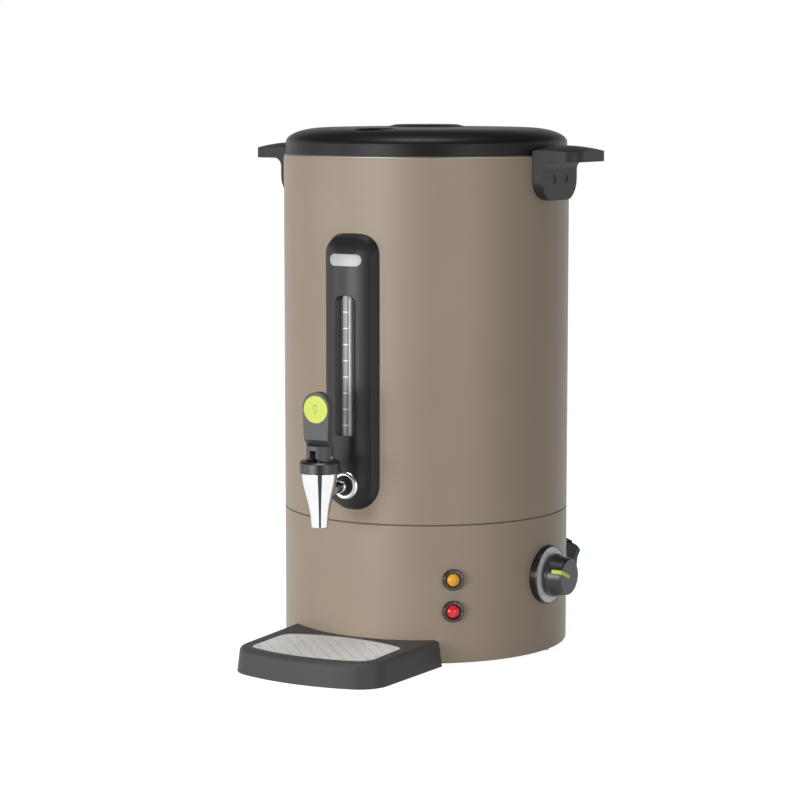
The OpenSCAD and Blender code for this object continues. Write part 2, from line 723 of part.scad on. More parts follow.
// The bracket from the side: its face, and the fillet that carries the grip
module bracket_side() difference() {
    fillet = [-bracket_y - handle_fillet_r, grip_z - handle_fillet_r];
    translate([fillet[0], 0]) square(beyond);
    translate([fillet[0] - beyond, 0]) square([beyond + handle_fillet_r, fillet[1]]);
    translate(fillet) circle(r = handle_fillet_r);
}
module handle() difference() {
    intersection() {
        union() {
            // bracket, its lower corners rounded, and the fillet under the grip
            intersection() {
                rotate([90, 0, 0]) translate([0, grip_z + 4, casing_r - 30]) mirror([0, 1, 0])
                    linear_extrude(80) rounded(handle_w, bracket_drop + 4, bracket_corner_r);
                rotate([90, 0, 90]) translate([0, 0, -handle_w / 2]) linear_extrude(handle_w)
                    bracket_side();
            }
            // grip plate with rounded outer corners
            translate([0, 0, grip_z]) mirror([0, 1, 0]) linear_extrude(grip_t + grip_crown)
                translate([0, casing_r - 30]) rounded(handle_w, grip_depth + 30, grip_corner_r);
        }
        // domed top
        translate([0, -casing_r - 10, grip_z + grip_t + grip_crown - dome_r]) sphere(r = dome_r);
    }
    casing_space(fit);
    handle_screw_places() {
        bar(handle_screw_r + run, casing_r - 20, casing_r + 60);
        bar(handle_screw_r * 2 + 0.3, bracket_y - 3, casing_r + 60);
    }
}
dome_r = pow(handle_w / 2, 2) / (2 * grip_crown) * 1.35;
module handle_left() color("#3a3a3b") facing(-90) handle();
module handle_right() color("#3a3a3b") facing(90) handle();
module handle_screws() color("#7d7f81") for (side = [-90, 90]) facing(side) handle_screw_places() {
    nut = inside_r(handle_screw_pitch / 2 + 3.5) - 0.2;
    bar(handle_screw_r, nut - 5, bracket_y - 3);
    bar(handle_screw_r * 2, bracket_y - 3, bracket_y - 1.2);
    difference() {
        bar(3.4, nut - 3, nut);
        bar(handle_screw_r, nut - 6, nut + 1);
    }
}

// ---------------------------------------------------------------- column cover
cover_end_r = cover_w / 2;
cover_front = casing_r + cover_depth;
cover_edge_y = cover_front - cover_crown;
cover_arc_r = (pow(cover_face_w / 2, 2) + pow(cover_crown, 2)) / (2 * cover_crown);
cover_low_z = cover_bottom_z + cover_end_r;
cover_high_z = cover_top_z - cover_end_r;
cover_edge_r = 2;
// Half of the cover's section: (distance to the side, distance from the urn's axis)
module cover_section(grow) intersection() {
    translate([0, cover_front - cover_arc_r]) circle(r = cover_arc_r + grow, $fn = 120);
    union() {
        polygon([[0, casing_r - 30], [cover_end_r + grow, casing_r - 30], [cover_end_r + grow, casing_r - 6],
            [cover_face_w / 2 + cover_edge_r * 0.4 + grow, cover_edge_y - cover_edge_r],
            [cover_face_w / 2 - cover_edge_r * 0.3 + grow, cover_front], [0, cover_front + grow + 1]]);
    }
}
module cover_solid(grow) {
    for (z = [cover_low_z, cover_high_z]) translate([0, 0, z]) rotate([90, 0, 0]) rotate_extrude()
        intersection() {
            cover_section(grow);
            square([200, 400]);
        }
    translate([0, 0, cover_low_z]) linear_extrude(cover_high_z - cover_low_z) mirror([0, 1, 0])
        for (side = [0, 1]) mirror([side, 0, 0]) intersection() {
            cover_section(grow);
            translate([-0.01, 0]) square([200, 400]);
        }
}
tube_r = tube_d / 2;
tube_y = casing_r + 2.2 + tube_r;
groove_floor = casing_r + fit + 1.2;
module groove_shape() {
    top = gauge_top_z - groove_w / 2;
    translate([-groove_w / 2, -cover_front - 20, gauge_bottom_z])
        cube([groove_w, cover_front + 20 - groove_floor, top - gauge_bottom_z]);
    translate([0, 0, top]) bar(groove_w / 2, groove_floor, cover_front + 20);
}
module gauge_cover() color("#2e2e2f") difference() {
    cover_solid(0);
    casing_space(fit);
    groove_shape();
    // hollow behind the front, below the groove and above it, with a boss behind the tap
    difference() {
        intersection() {
            cover_solid(-cover_wall);
            union() {
                translate([-50, -cover_front, 0]) cube([100, cover_front, gauge_bottom_z - cover_wall]);
                translate([-50, -cover_front, gauge_top_z + cover_wall]) cube([100, cover_front, 200]);
            }
        }
        translate([0, 0, outlet_z]) bar(tap_ring_d / 2 + 1.5, boss_y, cover_front);
    }
    translate([0, -tube_y, outlet_z]) cylinder(r = tube_r + 0.2, h = elbow_z - outlet_z);
    translate([0, 0, outlet_z]) bar(shank_r + 0.4, casing_r - 5, cover_front + 5);
    translate([0, 0, outlet_z]) bar(tee_r + fit, casing_r - 5, boss_y);
    translate([0, 0, outlet_z]) bar(tap_ring_d / 2 + 1, ring_seat, cover_front + 10);
}
module gauge_badge() color("#d8d8d8") difference() {
    intersection() {
        cover_solid(badge_t);
        translate([0, 0, badge_z]) rotate([90, 0, 0]) linear_extrude(cover_front + 20)
            union() {
                for (s = [-1, 1]) translate([s * (badge_w - badge_h) / 2, 0]) circle(d = badge_h);
                translate([-(badge_w - badge_h) / 2, -badge_h / 2]) square([badge_w - badge_h, badge_h]);
            }
        translate([-cover_w, -cover_front + cover_crown - beyond, 0]) cube([2 * cover_w, beyond, beyond]);
    }
    cover_solid(0);
}

// ---------------------------------------------------------------- sight gauge
spigot_r = tube_r - tube_wall - 0.1;
spigot_h = 12;
tee_r = 8;
elbow_r = 5;
seal_t = 1.5;
tee_top_z = outlet_z + tee_r + 1;
tube_bottom_z = tee_top_z + seal_t;
tube_top_z = elbow_z - elbow_r - 1 - seal_t;
module sight_tube() color("#dfe6e8", 0.5) translate([0, -tube_y, tube_bottom_z])
    ring(tube_r, tube_r - tube_wall, tube_top_z - tube_bottom_z);
scale_low_z = gauge_bottom_z + scale_foot;
scale_pitch = (gauge_top_z - scale_head - scale_low_z) / (scale_marks - 1);
scale_t = 0.35;
scale_half_angle = 45;
mark_h = 0.9;
mark_t = 0.15;
module sight_scale() color("#b9bbbb") translate([0, -tube_y, 0])
    rotate([0, 0, -90 - scale_half_angle]) rotate_extrude(angle = 2 * scale_half_angle) {
        translate([tube_r, gauge_bottom_z + 1]) square([scale_t, gauge_top_z - gauge_bottom_z - 6]);
        for (i = [0:scale_marks - 1]) translate([tube_r, scale_low_z + i * scale_pitch - mark_h / 2])
            square([scale_t + mark_t, mark_h]);
    }
module gauge_seals() color("#2b2b2b") for (z = [tee_top_z, tube_top_z]) translate([0, -tube_y, z])
    ring(tube_r, spigot_r + run, seal_t);
// The outlet pipe runs from inside the tank to the tap, and carries the sight tube's lower end
module outlet_tee() color("#c2a25c") difference() {
    union() {
        translate([0, 0, outlet_z]) bar(tee_r, tank_r - 12, boss_y - fit);
        translate([0, -tube_y, outlet_z]) cylinder(r = tube_r, h = tee_top_z - outlet_z);
        translate([0, -tube_y, outlet_z]) cylinder(r = spigot_r, h = tee_top_z + spigot_h - outlet_z);
    }
    translate([0, 0, outlet_z]) bar(water_way_r, tank_r - 20, cover_front);
    translate([0, 0, outlet_z]) bar(shank_r + run, shank_in - 0.5, cover_front + 5);
    translate([0, -tube_y, outlet_z]) cylinder(r = spigot_r - 1, h = 50);
}
module gauge_elbow() color("#c2a25c") difference() {
    union() {
        translate([0, 0, elbow_z]) bar(elbow_r, tank_r - 10, cover_front - cover_wall - fit);
        translate([0, -tube_y, tube_top_z + seal_t]) cylinder(r = tube_r, h = elbow_z - tube_top_z - seal_t);
        translate([0, -tube_y, tube_top_z - spigot_h]) cylinder(r = spigot_r, h = spigot_h + 5);
    }
    translate([0, 0, elbow_z]) bar(elbow_r - 2, tank_r - 20, tube_y + 2);
    translate([0, -tube_y, tube_top_z - spigot_h - 1])
        cylinder(r = spigot_r - 1, h = elbow_z - tube_top_z + spigot_h);
}
// Nuts inside the tank hold the outlet and the elbow
tee_nut_r = 13;
elbow_nut_r = 9;
tank_nut_t = 5;
module outlet_nuts() color("#c2a25c") {
    tank_nut(outlet_z, tee_r, tee_nut_r);
    tank_nut(elbow_z, elbow_r, elbow_nut_r);
}
module tank_nut(z, pipe_r, nut_r) translate([0, 0, z]) difference() {
    seat = sqrt(tank_r * tank_r - nut_r * nut_r) - 0.2;
    translate([0, -seat + tank_nut_t, 0]) rotate([90, 0, 0]) cylinder(r = nut_r, h = tank_nut_t, $fn = 6);
    bar(pipe_r + run, seat - 2 * tank_nut_t, tank_r);
}

// ---------------------------------------------------------------- tap
shank_r = shank_d / 2;
shank_in = casing_r - 8;
water_way_r = 3.5;
tap_y = casing_r + tap_reach;
ring_seat = cover_front - 1.4;
boss_y = ring_seat - 2.5;
spout_z = outlet_z - spout_drop;
head_z = outlet_z + tap_head_h;
head_r = tap_head_d / 2;
seat_z = outlet_z - water_way_r - 2;
chamber_r = 8.6;
neck_r = 12;
bonnet_z = head_z + bonnet_h;
bonnet_foot_z = head_z - 5.9;
// The spout narrows in one sweep from the head to the mouth
spout_curve = curve([[head_r, head_z - 3], [head_r - 1.2, head_z - 18], [spout_r + 1, outlet_z - 10],
    [spout_r, spout_z + 0.8]], 10);
module tap_body() color("#c8cacb") difference() {
    union() {
        translate([0, -tap_y, 0]) rotate_extrude()
            polygon(concat([[0, head_z], [head_r - 0.5, head_z], [head_r, head_z - 0.5]], spout_curve,
                [[spout_r - 0.8, spout_z], [0, spout_z]]));
        translate([0, 0, outlet_z]) bar(shank_r, shank_in, tap_y);
    }
    translate([0, -tap_y, spout_z - 1]) cylinder(r = spout_bore_r, h = 60);
    translate([0, -tap_y, seat_z]) cylinder(r = chamber_r, h = 60);
    translate([0, -tap_y, head_z - 6]) cylinder(r = neck_r, h = 60);
    translate([0, 0, outlet_z]) bar(water_way_r, shank_in - 1, tap_y);
}
module tap_ring() color("#c8cacb") translate([0, 0, outlet_z]) turned() difference() {
    translate([shank_r + run, ring_seat]) square([tap_ring_d / 2 - shank_r - run, 3.2]);
    translate([0, ring_seat + 1.2]) square([9.2, 5]);
    translate([0, ring_seat + 8.6]) circle(r = 12.4);
}
module tap_washer() color("#1c1c1c") translate([0, 0, outlet_z]) difference() {
    bar(9, ring_seat + 1.2, ring_seat + 2.6);
    bar(shank_r + run, ring_seat, ring_seat + 6);
}
module tap_bonnet() color("#2b2b2c") translate([0, -tap_y, 0]) difference() {
    union() {
        rotate_extrude() polygon([[0, head_z], [bonnet_d / 2 - 0.6, head_z], [bonnet_d / 2, head_z + 0.6],
            [bonnet_d / 2, bonnet_z - 1.4], [bonnet_d / 2 - 1.4, bonnet_z], [0, bonnet_z]]);
        translate([0, 0, bonnet_foot_z]) cylinder(r = neck_r - run, h = head_z - bonnet_foot_z + 0.1);
    }
    translate([0, 0, head_z - 10]) cylinder(r = stem_r + run, h = 60);
}
stem_r = stem_d / 2;
cup_h = 5;
pin_z = bonnet_z + pin_h;
stem_top = 3;
module tap_stem() color("#a9abad") translate([0, -tap_y, 0]) difference() {
    translate([0, 0, seat_z + 1.5]) cylinder(r = stem_r, h = pin_z + stem_top - seat_z - 1.5);
    translate([-20, 0, pin_z]) rotate([0, 90, 0]) cylinder(r = pin_r, h = 40);
}
module tap_seat_cup() color("#c9c3b4") translate([0, -tap_y, seat_z]) difference() {
    cylinder(r = chamber_r - 1.4, h = cup_h);
    translate([0, 0, 1.5]) cylinder(r = stem_r, h = cup_h);
}
// The spring presses the cup on its seat from under the bonnet
spring_wire_r = 0.6;
spring_r = chamber_r - 2.6;
spring_coils = 5;
spring_steps = 16;
spring_sides = 6;
module tap_spring() color("#8d8f91") translate([0, -tap_y, 0]) {
    low = seat_z + cup_h + spring_wire_r + 0.05;
    rise = bonnet_foot_z - spring_wire_r - 0.05 - low;
    turns = spring_coils * spring_steps;
    points = [for (i = [0:turns], k = [0:spring_sides - 1])
        let (a = 360 * i / spring_steps, b = 360 * k / spring_sides, r = spring_r + spring_wire_r * cos(b))
            [r * cos(a), r * sin(a), low + rise * i / turns + spring_wire_r * sin(b)]];
    sides = [for (i = [0:turns - 1], k = [0:spring_sides - 1]) let (n = (k + 1) % spring_sides)
        [i * spring_sides + k, i * spring_sides + n, (i + 1) * spring_sides + n, (i + 1) * spring_sides + k]];
    last = turns * spring_sides;
    polyhedron(points, concat(sides, [[for (k = [spring_sides - 1:-1:0]) k]],
        [[for (k = [0:spring_sides - 1]) last + k]]));
}
pin_r = pin_d / 2;
module tap_pin() color("#d0d2d3") translate([-hub_d / 2 - 0.4, -tap_y, pin_z]) rotate([0, 90, 0])
    cylinder(r = pin_r, h = hub_d + 0.8);

// ---------------------------------------------------------------- tap lever
hub_r = hub_d / 2;
cam_gap = 0.2;
cam_base = pin_h - cam_gap;
// Lift for each radian of tilt
cam_rate = valve_lift / (lever_tilt * PI / 180);
// The cam's edge is an involute, so that it lifts the pin in proportion to the tilt
function cam_point(a) = let (reach = cam_base + cam_rate * a * PI / 180)
    [reach * sin(a) + cam_rate * cos(a), -reach * cos(a) + cam_rate * sin(a)];
// Section of the hub across the pin: (towards the front, above the pin)
module hub_section() {
    last = cam_point(lever_tilt);
    polygon(concat([[-hub_r - 1, hub_h - pin_h], [-hub_r - 1, -cam_base]],
        [for (i = [0:6]) cam_point(lever_tilt * i / 6)],
        [last + 12 * [cos(lever_tilt), sin(lever_tilt)], [last[0] + 12, hub_h - pin_h]]));
}
paddle_z = bonnet_z + hub_h;
paddle_top_z = bonnet_z + paddle_top_h;
paddle_y = tap_y + 3;
paddle_foot_w = paddle_w - 3;
disc_z = paddle_top_z - paddle_w / 2 - 2;
module tap_lever() color("#3b3b3c") difference() {
    union() {
        intersection() {
            translate([0, -tap_y, pin_z]) rotate([90, 0, -90]) translate([0, 0, -hub_r - 1])
                linear_extrude(2 * hub_r + 2) hub_section();
            translate([0, -tap_y, bonnet_z - 20]) cylinder(r = hub_r, h = 100);
        }
        // paddle, its foot sloping back to the hub
        intersection() {
            translate([0, -paddle_y + paddle_t / 2, 0]) rotate([90, 0, 0]) linear_extrude(paddle_t) {
                translate([0, paddle_top_z - paddle_w / 2]) circle(d = paddle_w);
                polygon([[-paddle_w / 2, paddle_top_z - paddle_w / 2], [-paddle_foot_w / 2, paddle_z],
                    [paddle_foot_w / 2, paddle_z], [paddle_w / 2, paddle_top_z - paddle_w / 2]]);
            }
            translate([-50, 0, 0]) rotate([90, 0, 90]) linear_extrude(100) polygon([
                [-tap_y + 20, paddle_z], [-tap_y - 2, paddle_z], [-paddle_y - paddle_t / 2, paddle_z + 5.5],
                [-paddle_y - paddle_t / 2, paddle_top_z + 1], [-tap_y + 20, paddle_top_z + 1]]);
        }
    }
    // slot for the stem, open downwards and to the front
    translate([-hub_slot_w / 2, -tap_y - 30, bonnet_z - 30])
        cube([hub_slot_w, 30 + stem_swing_r, 30 + pin_h + stem_swing_r + 2.2]);
    translate([-30, -tap_y, pin_z]) rotate([0, 90, 0]) cylinder(r = pin_r + run, h = 60);
    lever_disc_shape(0);
}
stem_swing_r = norm([stem_r, stem_top]) + 0.3;
module lever_disc_shape(proud) translate([0, 0, disc_z])
    bar(disc_d / 2, paddle_y + paddle_t / 2 - 0.6, paddle_y + paddle_t / 2 + proud);
module lever_disc() color("#e3f06a") lever_disc_shape(0.25);

// ---------------------------------------------------------------- drip tray
tray_front = casing_r + tray_reach;
tray_floor_t = 2.5;
tray_draft = 2.2;
rim_round = 4.5;
// Where the centre of an end's round corner lies: an end towards -Y, its tip away from the axis
function corner_place(half_w, tip, arc_r, corner_r) = [half_w - corner_r,
    arc_r - tip - sqrt(pow(arc_r - corner_r, 2) - pow(half_w - corner_r, 2))];
// A flat shape with an arched end towards -Y, round corners and straight sides up to a line,
// y = until. It is drawn moved inwards
module arched(half_w, tip, arc_r, corner_r, inwards, until) {
    corner = corner_place(half_w, tip, arc_r, corner_r);
    aim = 1.5 * [corner[0], corner[1] - arc_r + tip];
    intersection() {
        translate([0, arc_r - tip]) intersection() {
            circle(r = arc_r - inwards, $fn = 360);
            polygon([[0, 0], aim, [-aim[0], aim[1]]]);
        }
        translate([-half_w, -2 * tip]) square([2 * half_w, 2 * tip + until]);
    }
    for (s = [-1, 1]) translate([s * corner[0], corner[1]]) circle(r = corner_r - inwards);
    translate([-half_w + inwards, corner[1]]) square([2 * (half_w - inwards), until - corner[1]]);
}
// The tray's outline, moved inwards: its sides spread a little from the corners to the casing
module tray_outline(inwards) {
    back_y = -sqrt(pow(casing_r, 2) - pow(tray_back_half_w, 2));
    corner_y = corner_place(tray_half_w, tray_front, tray_front_r, tray_corner_r)[1];
    arched(tray_half_w, tray_front, tray_front_r, tray_corner_r, inwards, back_y);
    for (s = [0, 1]) mirror([s, 0]) polygon([[-1, corner_y], [tray_half_w - inwards, corner_y],
        [tray_back_half_w - inwards, back_y], [tray_back_half_w - inwards, -casing_r / 2],
        [-1, -casing_r / 2]]);
}
// Tilts what is drawn on the tray's top plane about the top of its front edge
module on_tray_top() translate([0, -tray_front, tray_h]) rotate([tray_slope, 0, 0])
    translate([0, tray_front, 0]) children();
tray_gap = 0.5;
tray_back_wall = 3;
grid_ledge = 4;
grid_half_w = tray_half_w - tray_rim_w;
grid_front = tray_front - tray_rim_w;
grid_back = casing_r + tray_gap + tray_back_wall;
grid_mid = (grid_front + grid_back) / 2;
// The grid's outline: the tray's front end, and a rear end that is arched towards the casing
module grid_outline(inwards) {
    arched(grid_half_w, grid_front, tray_front_r - tray_rim_w, tray_corner_r - tray_rim_w, inwards,
        1 - grid_mid);
    translate([0, -2 * grid_mid]) mirror([0, 1])
        arched(grid_half_w, grid_front, grid_back_r, grid_corner_r, inwards, 1 - grid_mid);
}
module drip_tray() color("#3f3f40") difference() {
    intersection() {
        hull() {
            linear_extrude(1, convexity = 4) tray_outline(0);
            on_tray_top() translate([0, 0, -rim_round]) linear_extrude(0.1) tray_outline(tray_draft);
            on_tray_top() translate([0, 0, -rim_round * 0.3]) linear_extrude(0.1)
                tray_outline(tray_draft + rim_round * 0.3);
            on_tray_top() translate([0, 0, -0.1]) linear_extrude(0.1)
                tray_outline(tray_draft + rim_round);
        }
        translate([-300, -tray_front - 10, 0]) cube([600, 600, 100]);
    }
    casing_space(tray_gap);
    on_tray_top() translate([0, 0, -grid_sink - grid_t]) linear_extrude(40) grid_outline(0);
    translate([0, 0, tray_floor_t]) linear_extrude(60) grid_outline(grid_ledge);
}
grid_clear = 0.4;
// Free width between the grid's edge and the nearest hole's centre
grid_margin = 5;
// Whether a hole at p keeps clear of the grid's arched ends
function holds(p) = norm(p - [0, tray_front_r - tray_front]) < tray_front_r - tray_rim_w - grid_margin
    && norm(p + [0, grid_back + grid_back_r]) < grid_back_r - grid_margin;
module drip_grid() color("#c9cbcc") on_tray_top() translate([0, 0, -grid_sink - grid_t])
    linear_extrude(grid_t) difference() {
        grid_outline(grid_clear);
        columns = floor((grid_half_w - grid_margin) / grid_pitch);
        rows = floor((grid_front - grid_mid) / grid_pitch);
        for (i = [-columns:columns], j = [-rows:rows])
            if ((i + j) % 2 != 0 && holds([i * grid_pitch, j * grid_pitch - grid_mid]))
                translate([i * grid_pitch, j * grid_pitch - grid_mid])
                    circle(d = grid_hole_d, $fn = 24);
    }

outer_casing();
base_band();
joint_ring();
water_tank();
tank_rim_gasket();
lid();
lid_liner();
base_plate();
base_screws();
foot_ring();
heater_plate();
heating_element();
heater_clamp();
heater_nut();
thermostat_body();
thermostat_screws();
thermostat_shaft();
thermostat_sensor();
dial_bezel();
dial_plate();
thermostat_knob();
knob_pointer();
boil_dry_cutout();
reset_button();
terminal_block();
wiring();
lamp_bezels();
amber_lens();
red_lens();
switch_frame();
switch_rocker();
switch_terminals();
cable_gland();
cable_gland_nut();
handle_left();
handle_right();
handle_screws();
gauge_cover();
gauge_badge();
sight_tube();
sight_scale();
gauge_elbow();
gauge_seals();
outlet_tee();
outlet_nuts();
tap_body();
tap_ring();
tap_washer();
tap_bonnet();
tap_stem();
tap_seat_cup();
tap_spring();
tap_pin();
tap_lever();
lever_disc();
drip_tray();
drip_grid();
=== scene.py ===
"""The looks of a hot water urn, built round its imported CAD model."""

import cmath
import json
import math
from types import SimpleNamespace

import bmesh
import bpy
from bpy.props import FloatProperty, FloatVectorProperty, IntProperty, PointerProperty
from mathutils import Matrix, Vector
from mathutils.geometry import interpolate_bezier


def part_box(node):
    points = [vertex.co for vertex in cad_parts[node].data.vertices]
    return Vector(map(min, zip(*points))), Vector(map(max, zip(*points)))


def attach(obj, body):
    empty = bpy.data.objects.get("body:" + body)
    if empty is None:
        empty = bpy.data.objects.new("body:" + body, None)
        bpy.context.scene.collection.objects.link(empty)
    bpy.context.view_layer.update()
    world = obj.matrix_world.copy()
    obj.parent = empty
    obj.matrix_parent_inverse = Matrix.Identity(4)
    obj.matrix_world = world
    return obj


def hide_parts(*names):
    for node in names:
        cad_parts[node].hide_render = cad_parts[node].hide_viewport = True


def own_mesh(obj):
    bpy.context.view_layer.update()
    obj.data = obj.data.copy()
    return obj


bl_info = {
    "name": "Hot Water Urn",
    "version": (1, 0, 0),
    "blender": (4, 5, 0),
    "location": "View3D > Sidebar > Urn",
    "description": "Dresses the packed hot water urn and sets up its stage",
    "category": "Object",
}

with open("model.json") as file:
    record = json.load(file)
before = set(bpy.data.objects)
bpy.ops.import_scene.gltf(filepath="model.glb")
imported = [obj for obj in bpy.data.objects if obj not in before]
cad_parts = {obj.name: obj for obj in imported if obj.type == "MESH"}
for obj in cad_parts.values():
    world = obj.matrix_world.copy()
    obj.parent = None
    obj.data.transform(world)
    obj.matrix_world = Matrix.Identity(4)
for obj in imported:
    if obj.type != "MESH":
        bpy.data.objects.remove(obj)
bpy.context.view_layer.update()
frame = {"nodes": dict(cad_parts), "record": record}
NODE_SLOT = {part["node"]: part["material_slot"] for part in frame["record"]["subparts"]}
# Metres within which two vertices are one
MERGE = 1e-6
# Steps round a part that is seen large, and round a small one
CURVE_STEPS = 192
SMALL_STEPS = 96
# Width and height of the rocker switch's body, and of the hole that the rocker sits in
SWITCH_BODY = (21.0, 28.8)
ROCKER_HOLE = (15.8, 26.4)
# Where the dial's numbers start and how far they reach, in degrees
SCALE_START, SCALE_SWEEP = 225, 270


# ---------------------------------------------------------------- measures and settings
def mm(length):
    """Millimetres as metres."""
    return length / 1000


def linear(colour):
    """An sRGB hex colour as linear red, green and blue."""
    parts = [int(colour[i : i + 2], 16) / 255 for i in (1, 3, 5)]
    return [p / 12.92 if p <= 0.04045 else ((p + 0.055) / 1.055) ** 2.4 for p in parts]


def length(name, value, description):
    """A size that is typed in millimetres and kept in metres."""
    return FloatProperty(name=name, default=mm(value), min=0, description=description, unit="LENGTH",
                         subtype="DISTANCE")


def turn(name, degrees, description):
    """An angle that is typed in degrees."""
    return FloatProperty(name=name, default=math.radians(degrees), description=description, unit="ROTATION",
                         subtype="ANGLE")


def tint(name, colour, description):
    """A colour that is typed as sRGB hex."""
    return FloatVectorProperty(name=name, default=linear(colour), min=0, max=1, description=description,
                               subtype="COLOR")


def power(name, watts, description):
    """The power of a lamp."""
    return FloatProperty(name=name, default=watts, min=0, description=description, unit="POWER")


def read(group):
    """A settings group's values under their own names, with its lengths in millimetres."""
    values = {}
    for key, prop in group.bl_rna.properties.items():
        if key not in ("rna_type", "name"):
            value = getattr(group, key)
            values[key] = value * 1000 if prop.type == "FLOAT" and prop.unit == "LENGTH" else value
    return SimpleNamespace(**values)


CASING_LOW, CASING_HIGH = (corner * 1000 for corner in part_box("outer_casing"))
BAND_LOW, BAND_HIGH = (corner * 1000 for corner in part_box("base_band"))
LID_LOW, LID_HIGH = (corner * 1000 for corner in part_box("lid"))


class CasingSettings(bpy.types.PropertyGroup):
    radius: length("Radius", CASING_HIGH.x, "Outside radius of both shells")
    sheet: length("Sheet", 1.2, "Thickness of the sheet steel")
    flange: length("Flange", 9, "Width of the flanges that the shells are fixed by")
    edge: length("Edge", 0.6, "Rounding of the shells' cut edges")
    paint: tint("Paint", "#a29281", "Colour of the powder coat")


class LidSettings(bpy.types.PropertyGroup):
    radius: length("Radius", LID_HIGH.x, "Outside radius of the lid")
    edge_height: length("Edge height", 10.5, "Height of the lid's straight edge")
    shoulder_width: length("Shoulder width", 40, "Width of the rounded shoulder")
    shoulder_height: length("Shoulder height", 14, "Height of the rounded shoulder")
    crown: length("Crown", 1.5, "Rise of the top towards its middle")
    wall: length("Wall", 2.5, "Thickness of the lid")
    disc_radius: length("Disc radius", 37, "Radius of the low disc in the middle")
    vent_radius: length("Vent radius", 18.75, "Radius of the vent's round recess")
    vent_place: length("Vent place", 96, "Distance of the vent from the middle, towards the tap")
    vent_depth: length("Vent depth", 4, "Depth of the vent's recess")
    plastic: tint("Plastic", "#171718", "Colour of the lid")


class GaugeSettings(bpy.types.PropertyGroup):
    width: length("Width", 56, "Width of the cover at the casing")
    face_width: length("Face width", 49, "Width of the cover's convex front")
    front: length("Front", 151.5, "Distance of the cover's front from the urn's axis")
    crown: length("Crown", 7, "Rise of the convex front")
    corner: length("Corner", 19, "Radius of the cover's upper corners")
    lower_corner: length("Lower corner", 26, "Radius of the cover's lower corners")
    end_curve: length("End curve", 90, "Radius of the cover's arched ends")
    bottom: length("Bottom", 146, "Height of the cover's lower end")
    top: length("Top", 406, "Height of the cover's upper end")
    groove_width: length("Groove width", 26, "Width of the groove for the tube, at the cover's front")
    groove_foot: length("Groove foot", 14, "Width of the groove beside the tube")
    groove_floor: length("Groove floor", 146, "Distance of the groove's floor from the urn's axis")
    groove_bottom: length("Groove bottom", 217.5, "Height of the groove's lower end")
    groove_top: length("Groove top", 348, "Height of the groove's arched upper end")
    tube_place: length("Tube place", 145, "Distance of the tube from the urn's axis")
    tube_radius: length("Tube radius", 4.8, "Outside radius of the sight tube")
    first_mark: length("First mark", 227.3, "Height of the lowest mark")
    last_mark: length("Last mark", 333, "Height of the highest mark")
    marks: IntProperty(name="Marks", default=8, min=2, description="Number of marks on the tube")
    plastic: tint("Plastic", "#202122", "Colour of the cover")


class TapSettings(bpy.types.PropertyGroup):
    place: length("Place", 195, "Distance of the tap from the urn's axis")
    outlet: length("Outlet", 171, "Height of the outlet")
    mouth: length("Mouth", 138, "Height of the spout's mouth")
    mouth_radius: length("Mouth radius", 7.7, "Outside radius of the spout at its mouth")
    bore_radius: length("Bore radius", 4.5, "Radius of the spout's bore")
    head: length("Head", 188.7, "Height of the body's upper rim")
    head_radius: length("Head radius", 16.2, "Radius of the body at its upper rim")
    bonnet_radius: length("Bonnet radius", 19.1, "Radius of the black bonnet")
    bonnet_top: length("Bonnet top", 199.6, "Height of the bonnet's top")
    ring_radius: length("Ring radius", 13.25, "Outside radius of the chromed ring")
    ring_seat: length("Ring seat", 150.1, "Distance of the ring's seat from the urn's axis")
    disc_radius: length("Disc radius", 12.7, "Radius of the coloured disc on the lever")
    disc_place: length("Disc place", 247.5, "Height of the coloured disc")
    disc_front: length("Disc front", 202, "Distance of the disc's face from the urn's axis")
    lift: length("Lift", 5, "Travel of the valve")
    lime: tint("Lime", "#d8e456", "Colour of the disc on the lever")


class HandleSettings(bpy.types.PropertyGroup):
    bracket: length("Bracket", 145.2, "Distance of the brackets' face from the urn's axis")
    screw_pitch: length("Screw pitch", 24, "Distance between the two screws")
    screw_height: length("Screw height", 454, "Height of the screws")
    edge: length("Edge", 1.2, "Rounding of the handles' edges")
    plastic: tint("Plastic", "#242425", "Colour of the handles")


class ControlSettings(bpy.types.PropertyGroup):
    lamp_turn: turn("Lamp angle", 40.5, "Angle of the pilot lamps from the tap")
    amber_place: length("Amber lamp", 82.8, "Height of the amber lamp")
    red_place: length("Red lamp", 52.7, "Height of the red lamp")
    lamp_radius: length("Lamp radius", 10, "Radius of the lamps' bezels")
    lens_radius: length("Lens radius", 6, "Radius of the lamps' lenses")
    dial_turn: turn("Dial angle", 87, "Angle of the thermostat from the tap")
    dial_place: length("Dial place", 76.8, "Height of the thermostat")
    bezel_radius: length("Bezel radius", 28.2, "Radius of the dial's bezel")
    skirt_radius: length("Skirt radius", 20.8, "Radius of the knob's skirt")
    face_radius: length("Face radius", 17.5, "Radius of the knob's face")
    knob_back: length("Knob back", 143, "Distance of the knob's back from the urn's axis")
    knob_face: length("Knob face", 163, "Distance of the knob's face from the urn's axis")
    pointer_turn: turn("Pointer angle", 22, "Angle of the pointer above the level")
    switch_turn: turn("Switch angle", 134, "Angle of the rocker switch from the tap")
    switch_place: length("Switch place", 76.5, "Height of the rocker switch")
    rocker_tilt: turn("Rocker tilt", 13.5, "Tilt of the rocker at rest")
    gland_place: length("Gland place", 34, "Height of the cable gland")
    amber: tint("Amber", "#ffb52c", "Colour of the amber lens")
    red: tint("Red", "#f42c38", "Colour of the red lens")
    green: tint("Green", "#0c5a3a", "Colour of the rocker")


